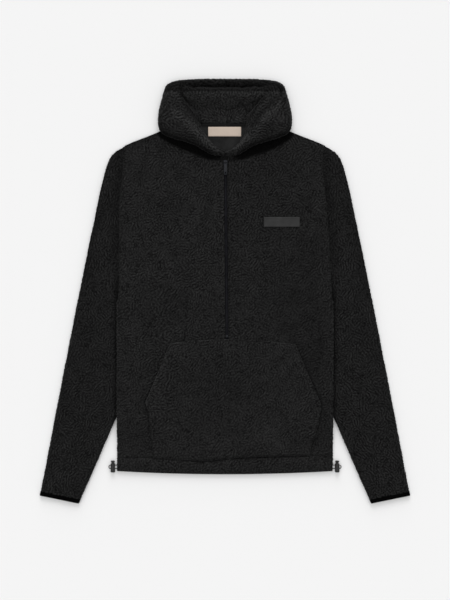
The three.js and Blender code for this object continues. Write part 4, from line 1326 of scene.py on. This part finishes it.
def zip_slider():
    """The slider's plate over the chain, its keel, and two ears that hold a pin."""
    x = zip_x(HINGE_Y)
    half = [(3.0, 262), (3.6, 262.6), (4.2, 267.0), (4.2, 272.6), (3.7, 273.6), (2.6, 274)]
    plate = prism([(x + a, b) for a, b in half] + [(x - a, b) for a, b in half[::-1]], 8.8, 10.4)
    keel = prism(rounded_box(x - 2.5, x + 2.5, 262.2, 273.8, 0.6), 7.7, 9.2)
    parts = [round_edges(plate, 0.45), keel]
    arch = np.linspace(0, np.pi, 13)
    ear = [(HINGE_Y + 1.6 * math.cos(a), HINGE_Z - 0.1 + 1.3 * math.sin(a)) for a in arch]
    ear += [(HINGE_Y - 1.6, 10.0), (HINGE_Y + 1.6, 10.0)]
    for low, high in ((-3.9, -2.7), (2.7, 3.9)):
        parts.append(round_edges(prism(ear, x + low, x + high, "X"), 0.2))
    parts.append(prism(circle(HINGE_Y, HINGE_Z, 0.6), x - 3.1, x + 3.1, "X"))
    return joined("slider", parts)


def zip_pull():
    """The pull: a plate with a hole and a raised frame, and two eyes round the slider's pin."""
    x = zip_x(HINGE_Y)
    low, high = HINGE_Z - 1.7, HINGE_Z - 0.3
    neck = [(3.4, 262.5), (2.3, 265.5), (2.3, 269.5), (1.3, 269.5), (1.3, 266.6), (0.8, 265.8)]
    tip = rounded_box(x - 3.4, x + 3.4, 243.5, 262, 1.6)
    lower_left = 3 * CORNER_POINTS
    outline = tip[lower_left:] + tip[:CORNER_POINTS]
    outline += [(x + a, b) for a, b in neck] + [(x - a, b) for a, b in neck[::-1]]
    tab = cut(prism(outline, low, high), prism(circle(x, 247.4, 1.7), low - 2, high + 2))
    border = prism(rounded_box(x - 2.8, x + 2.8, 250.2, 263.2, 1.0), high - 0.3, high + 0.3)
    inside = prism(rounded_box(x - 2.0, x + 2.0, 251, 262.4, 0.6), high - 1, high + 1)
    parts = [round_edges(tab, 0.25), round_edges(cut(border, inside), 0.12)]
    for first, last in ((-2.3, -1.3), (1.3, 2.3)):
        eye = prism(circle(HINGE_Y, HINGE_Z, 1.7), x + first, x + last, "X")
        bore = prism(circle(HINGE_Y, HINGE_Z, 0.9), x + first - 1, x + last + 1, "X")
        parts.append(round_edges(cut(eye, bore), 0.15))
    return joined("pull_tab", parts)


def small_block(name, y, half, bottom, top, corner, low, high, edge):
    """A small rounded block over the zip, centred on its line at y."""
    x = zip_x(y)
    block = prism(rounded_box(x - half, x + half, bottom, top, corner), low, high)
    return joined(name, [round_edges(block, edge)])


def lock_piece(name, side, profile, slot_end):
    """A turned piece of a cord lock, with a slot through which the cord's two runs pass."""
    x = side * LOCK_X
    slot = rounded_box(LOCK_Y + SLOT_START, LOCK_Y + slot_end, LOCK_Z - 1.3, LOCK_Z + 1.3, 1.2)
    piece = cut(turned(profile, x, LOCK_Y, LOCK_Z), prism(slot, x - 8, x + 8, "X"))
    return joined(name, [round_edges(piece, 0.12)])


def material(name, colour, roughness=0.95, metallic=0.0, sheen=0.0, specular=0.3):
    """A plain material, its node tree and its shader."""
    made = bpy.data.materials.new(name)
    made.use_nodes = True
    shader = made.node_tree.nodes["Principled BSDF"]
    values = {
        "Base Color": (*colour, 1), "Roughness": roughness, "Metallic": metallic,
        "Specular IOR Level": specular, "Sheen Weight": sheen, "Sheen Roughness": 0.5,
    }
    for socket, value in values.items():
        shader.inputs[socket].default_value = value
    return made, made.node_tree, shader


def texture(tree, kind, direction="X", **values):
    """The value of a texture laid out in the object's own coordinates."""
    made = tree.nodes.new(f"ShaderNodeTex{kind}")
    if kind == "Wave":
        made.bands_direction = direction
    for socket, value in values.items():
        made.inputs[socket].default_value = value
    coordinates = tree.nodes.new("ShaderNodeTexCoord")
    tree.links.new(coordinates.outputs["Object"], made.inputs["Vector"])
    return made.outputs["Fac"]


def bump(tree, shader, height, strength, distance):
    """Fine relief in the shader's normal."""
    made = tree.nodes.new("ShaderNodeBump")
    made.inputs["Strength"].default_value = strength
    made.inputs["Distance"].default_value = distance
    tree.links.new(height, made.inputs["Height"])
    tree.links.new(made.outputs["Normal"], shader.inputs["Normal"])


def ramp(tree, value, low, high, start=0.0, end=1.0):
    """A colour that goes from low to high as the value goes from start to end."""
    made = tree.nodes.new("ShaderNodeValToRGB")
    for element, position, colour in zip(made.color_ramp.elements, (start, end), (low, high)):
        element.position = position
        element.color = (*colour, 1)
    tree.links.new(value, made.inputs["Fac"])
    return made.outputs["Color"]


def arithmetic(tree, operation, first, second=None, third=None, clamp=False):
    """A node that works out one number from others, each a number or another node's output."""
    made = tree.nodes.new("ShaderNodeMath")
    made.operation = operation
    made.use_clamp = clamp
    for socket, value in zip(made.inputs, (first, second, third)):
        if isinstance(value, (int, float)):
            socket.default_value = value
        elif value is not None:
            tree.links.new(value, socket)
    return made.outputs[0]


def tone_and_painted_light(tree):
    """The tone, with painted light and shade, that a mesh holds at its points."""
    attribute = tree.nodes.new("ShaderNodeAttribute")
    attribute.attribute_name = "pile"
    return attribute.outputs["Fac"]


def fleece_material(name, dark, pale):
    """Curly fleece: looped curls with dark gaps between them, fine fibres, and the tone with painted light
    and shade that its points hold.
    """
    made, tree, shader = material(name, pale, roughness=1.0, sheen=0.05, specular=0.03)
    curls = texture(tree, "Noise", Scale=165, Detail=2.5, Roughness=0.6, Distortion=0.9)
    centred = arithmetic(tree, "SUBTRACT", curls, 0.5)
    gap = arithmetic(tree, "MULTIPLY", arithmetic(tree, "ABSOLUTE", centred), 7.0, clamp=True)
    loops = arithmetic(tree, "SUBTRACT", 1.0, gap)
    fibres = texture(tree, "Noise", Scale=850, Detail=2, Roughness=0.6)
    relief = arithmetic(tree, "MULTIPLY_ADD", fibres, 0.3, loops)
    bright = arithmetic(tree, "MULTIPLY", arithmetic(tree, "ADD", relief, 0.18), HEADROOM)
    tone = arithmetic(tree, "MULTIPLY", bright, tone_and_painted_light(tree))
    paler = tuple(channel / HEADROOM for channel in pale)
    tree.links.new(ramp(tree, tone, dark, paler), shader.inputs["Base Color"])
    bump(tree, shader, relief, 0.6, 0.0011)
    return made


def knit_material(name, low, high, scale, strength=0.4, sheen=0.05, specular=0.2, shaded=False):
    """Smooth knitted or woven cloth: fine crossed ribs, with a slow unevenness, and where shaded, the painted
    light and shade that its points hold.
    """
    made, tree, shader = material(name, high, roughness=0.9, sheen=sheen, specular=specular)
    ribs = [texture(tree, "Wave", way, Scale=scale, Distortion=0.6, Detail=1) for way in "XY"]
    crossed = arithmetic(tree, "MULTIPLY", *ribs)
    slow = texture(tree, "Noise", Scale=45, Detail=3, Roughness=0.5)
    tone = arithmetic(tree, "MULTIPLY_ADD", crossed, 0.5, slow)
    if shaded:
        tone = arithmetic(tree, "MULTIPLY", tone, tone_and_painted_light(tree))
    tree.links.new(ramp(tree, tone, low, high, 0.3, 0.9), shader.inputs["Base Color"])
    bump(tree, shader, crossed, strength, 0.0003)
    return made


def grained_material(name, low, high, roughness, metallic=0.0, scale=600, strength=0.15, specular=0.5):
    """Moulded plastic, rubber or coated metal: a fine grain and slight wear in its tone."""
    made, tree, shader = material(name, high, roughness=roughness, metallic=metallic, specular=specular)
    grain = texture(tree, "Noise", Scale=scale, Detail=2, Roughness=0.5)
    tone = texture(tree, "Noise", Scale=60, Detail=4, Roughness=0.5)
    tree.links.new(ramp(tree, tone, low, high, 0.3, 0.7), shader.inputs["Base Color"])
    bump(tree, shader, grain, strength, 0.0002)
    return made


def grey(value):
    return value, value, value


MATERIALS = {
    "fleece": fleece_material("fleece", grey(0.0004), grey(0.0165)),
    "facing": knit_material("facing", grey(0.004), grey(0.0215), 420, specular=0.08, shaded=True),
    "binding": knit_material("binding", grey(0.0004), grey(0.0012), 500, sheen=0.0, specular=0.02),
    "label": knit_material("label", (0.45, 0.376, 0.313), (0.52, 0.43, 0.362), 520, 0.3),
    "thread": grained_material("thread", grey(0.012), grey(0.03), 0.8),
    "label_thread": grained_material("label_thread", (0.4, 0.33, 0.27), (0.55, 0.46, 0.39), 0.8),
    "patch": grained_material("patch", grey(0.0165), grey(0.025), 0.6, scale=900, strength=0.2, specular=0.2),
    "zip_tape": knit_material("zip_tape", (0.005, 0.005, 0.007), (0.009, 0.009, 0.012), 480, specular=0.05),
    "zip_coil": grained_material("zip_coil", (0.004, 0.004, 0.0055), (0.011, 0.011, 0.0135), 0.6,
                                 specular=0.08),
    "zip_metal": grained_material("zip_metal", (0.014, 0.015, 0.017), (0.024, 0.025, 0.028), 0.45, 0.9),
    "plastic": grained_material("plastic", grey(0.003), grey(0.006), 0.4, specular=0.4),
    "cord": knit_material("cord", grey(0.006), grey(0.014), 700, 0.8),
}


def finish_piece(piece, look, replaced=(), body="garment"):
    """Gives a piece its look and body, and hides the model's nodes that it replaces."""
    piece.data.materials.clear()
    piece.data.materials.append(MATERIALS[look])
    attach(piece, body)
    if replaced:
        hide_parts(*replaced)
    return piece


def cloth(piece, replaced, look="fleece", **cut):
    """A finished piece of cloth in place of one of the model's nodes; its cut is not used."""
    finish_piece(piece, look, [replaced])


def build_cords():
    for name, side in SIDES:
        piece = finish_piece(add_cord(f"drawcord_{name}", side), "cord", [f"cord_{name}"])


def build_cloth():
    cloth(front_panel(), "front_panel", flat=(0.471, 0.684), area=0.300, held="laid", rests_on=["back"])
    cloth(back_panel(), "back_panel", flat=(0.450, 0.702), area=0.296, held="laid")
    cloth(pocket(), "pocket", flat=(0.367, 0.245), area=0.080, held="laid", rests_on=["front"])
    cloth(hem_front("hem_front_band"), "hem_front", flat=(0.473, 0.036), held="laid",
          rests_on=["hem_back_band"])
    cloth(hem_back("hem_back_band"), "hem_back", flat=(0.429, 0.036), held="laid")
    for name, side in SIDES:
        cloth(sleeve(f"arm_{name}", side), f"sleeve_{name}", flat=(0.420, 0.660), area=0.145, held="laid")
        cloth(cuff_binding(f"binding_{name}", side), f"cuff_binding_{name}", "binding",
              flat=(0.17, 0.010), held="laid")
        cloth(hood(f"hood_half_{name}", side), f"hood_{name}", flat=(0.150, 0.360), area=0.031,
              held="folded", rests_on=["front"])
        cloth(zip_tape(f"tape_{name}", side), f"zip_tape_{name}", "zip_tape", flat=(0.012, 0.390),
              held="laid", rests_on=["back"])


def build_trim():
    cloth(facing(), "back_neck_facing", "facing", flat=(0.208, 0.062), area=0.0079, held="laid",
          rests_on=["back"])
    label, thread = neck_label()
    cloth(label, "neck_label", "label", flat=(0.069, 0.020), held="laid", rests_on=["facing"])
    finish_piece(thread, "label_thread")
    patch, thread = chest_patch()
    finish_piece(patch, "patch", ["chest_patch"])
    finish_piece(thread, "thread")
    finish_piece(zip_coils(), "zip_coil", ["zip_chain"])


def build_hardware():
    finish_piece(zip_slider(), "zip_metal", ["zip_slider"])
    finish_piece(zip_pull(), "zip_metal", ["zip_pull"], body="pull")
    stop = small_block("zip_stop", sum(STOP_Y) / 2, 2.6, *STOP_Y, corner=0.7, low=4.9, high=7.5, edge=0.4)
    finish_piece(stop, "zip_metal")
    backing = small_block("collar_backing", 275.6, 3.4, *BACKING_Y, corner=1.2, low=4.9, high=10.2, edge=0.8)
    finish_piece(backing, "facing")
    for name, side in SIDES:
        barrel = lock_piece(f"lock_{name}", side, BARREL, BARREL_SLOT_END)
        finish_piece(barrel, "plastic", [f"toggle_{name}"])
        button = lock_piece(f"lock_button_{name}", side, BUTTON, BUTTON_SLOT_END)
        finish_piece(button, "plastic", [f"plunger_{name}"], body=f"button_{name}")


def add_floor():
    """A plain pale floor, just under the garment."""
    corners = [(-1, -1), (1, -1), (1, 1), (-1, 1)]
    mesh = bpy.data.meshes.new("floor")
    mesh.from_pydata([(x * FLOOR_HALF, y * FLOOR_HALF, -0.1 * MM) for x, y in corners], [], [(0, 1, 2, 3)])
    mesh.materials.append(material("floor", grey(0.8), roughness=1.0, specular=0.0)[0])
    add_object("floor", mesh)


def add_light():
    """An even pale sky, a wide light from straight above, and a soft sun from beyond the hood."""
    world = bpy.data.worlds.new("studio")
    world.use_nodes = True
    world.node_tree.nodes["Background"].inputs["Color"].default_value = (1, 1, 1, 1)
    world.node_tree.nodes["Background"].inputs["Strength"].default_value = SKY
    bpy.context.scene.world = world
    for name, strength, width, height in SUNS:
        light = bpy.data.lights.new(name, "SUN")
        light.energy = strength
        light.angle = math.radians(width)
        add_object(name, light).rotation_euler = (math.radians(height - 90), 0, 0)
    bpy.context.scene.view_settings.view_transform = "Standard"


add_camera()
build_cords()
build_cloth()
build_trim()
build_hardware()
add_floor()
add_light()
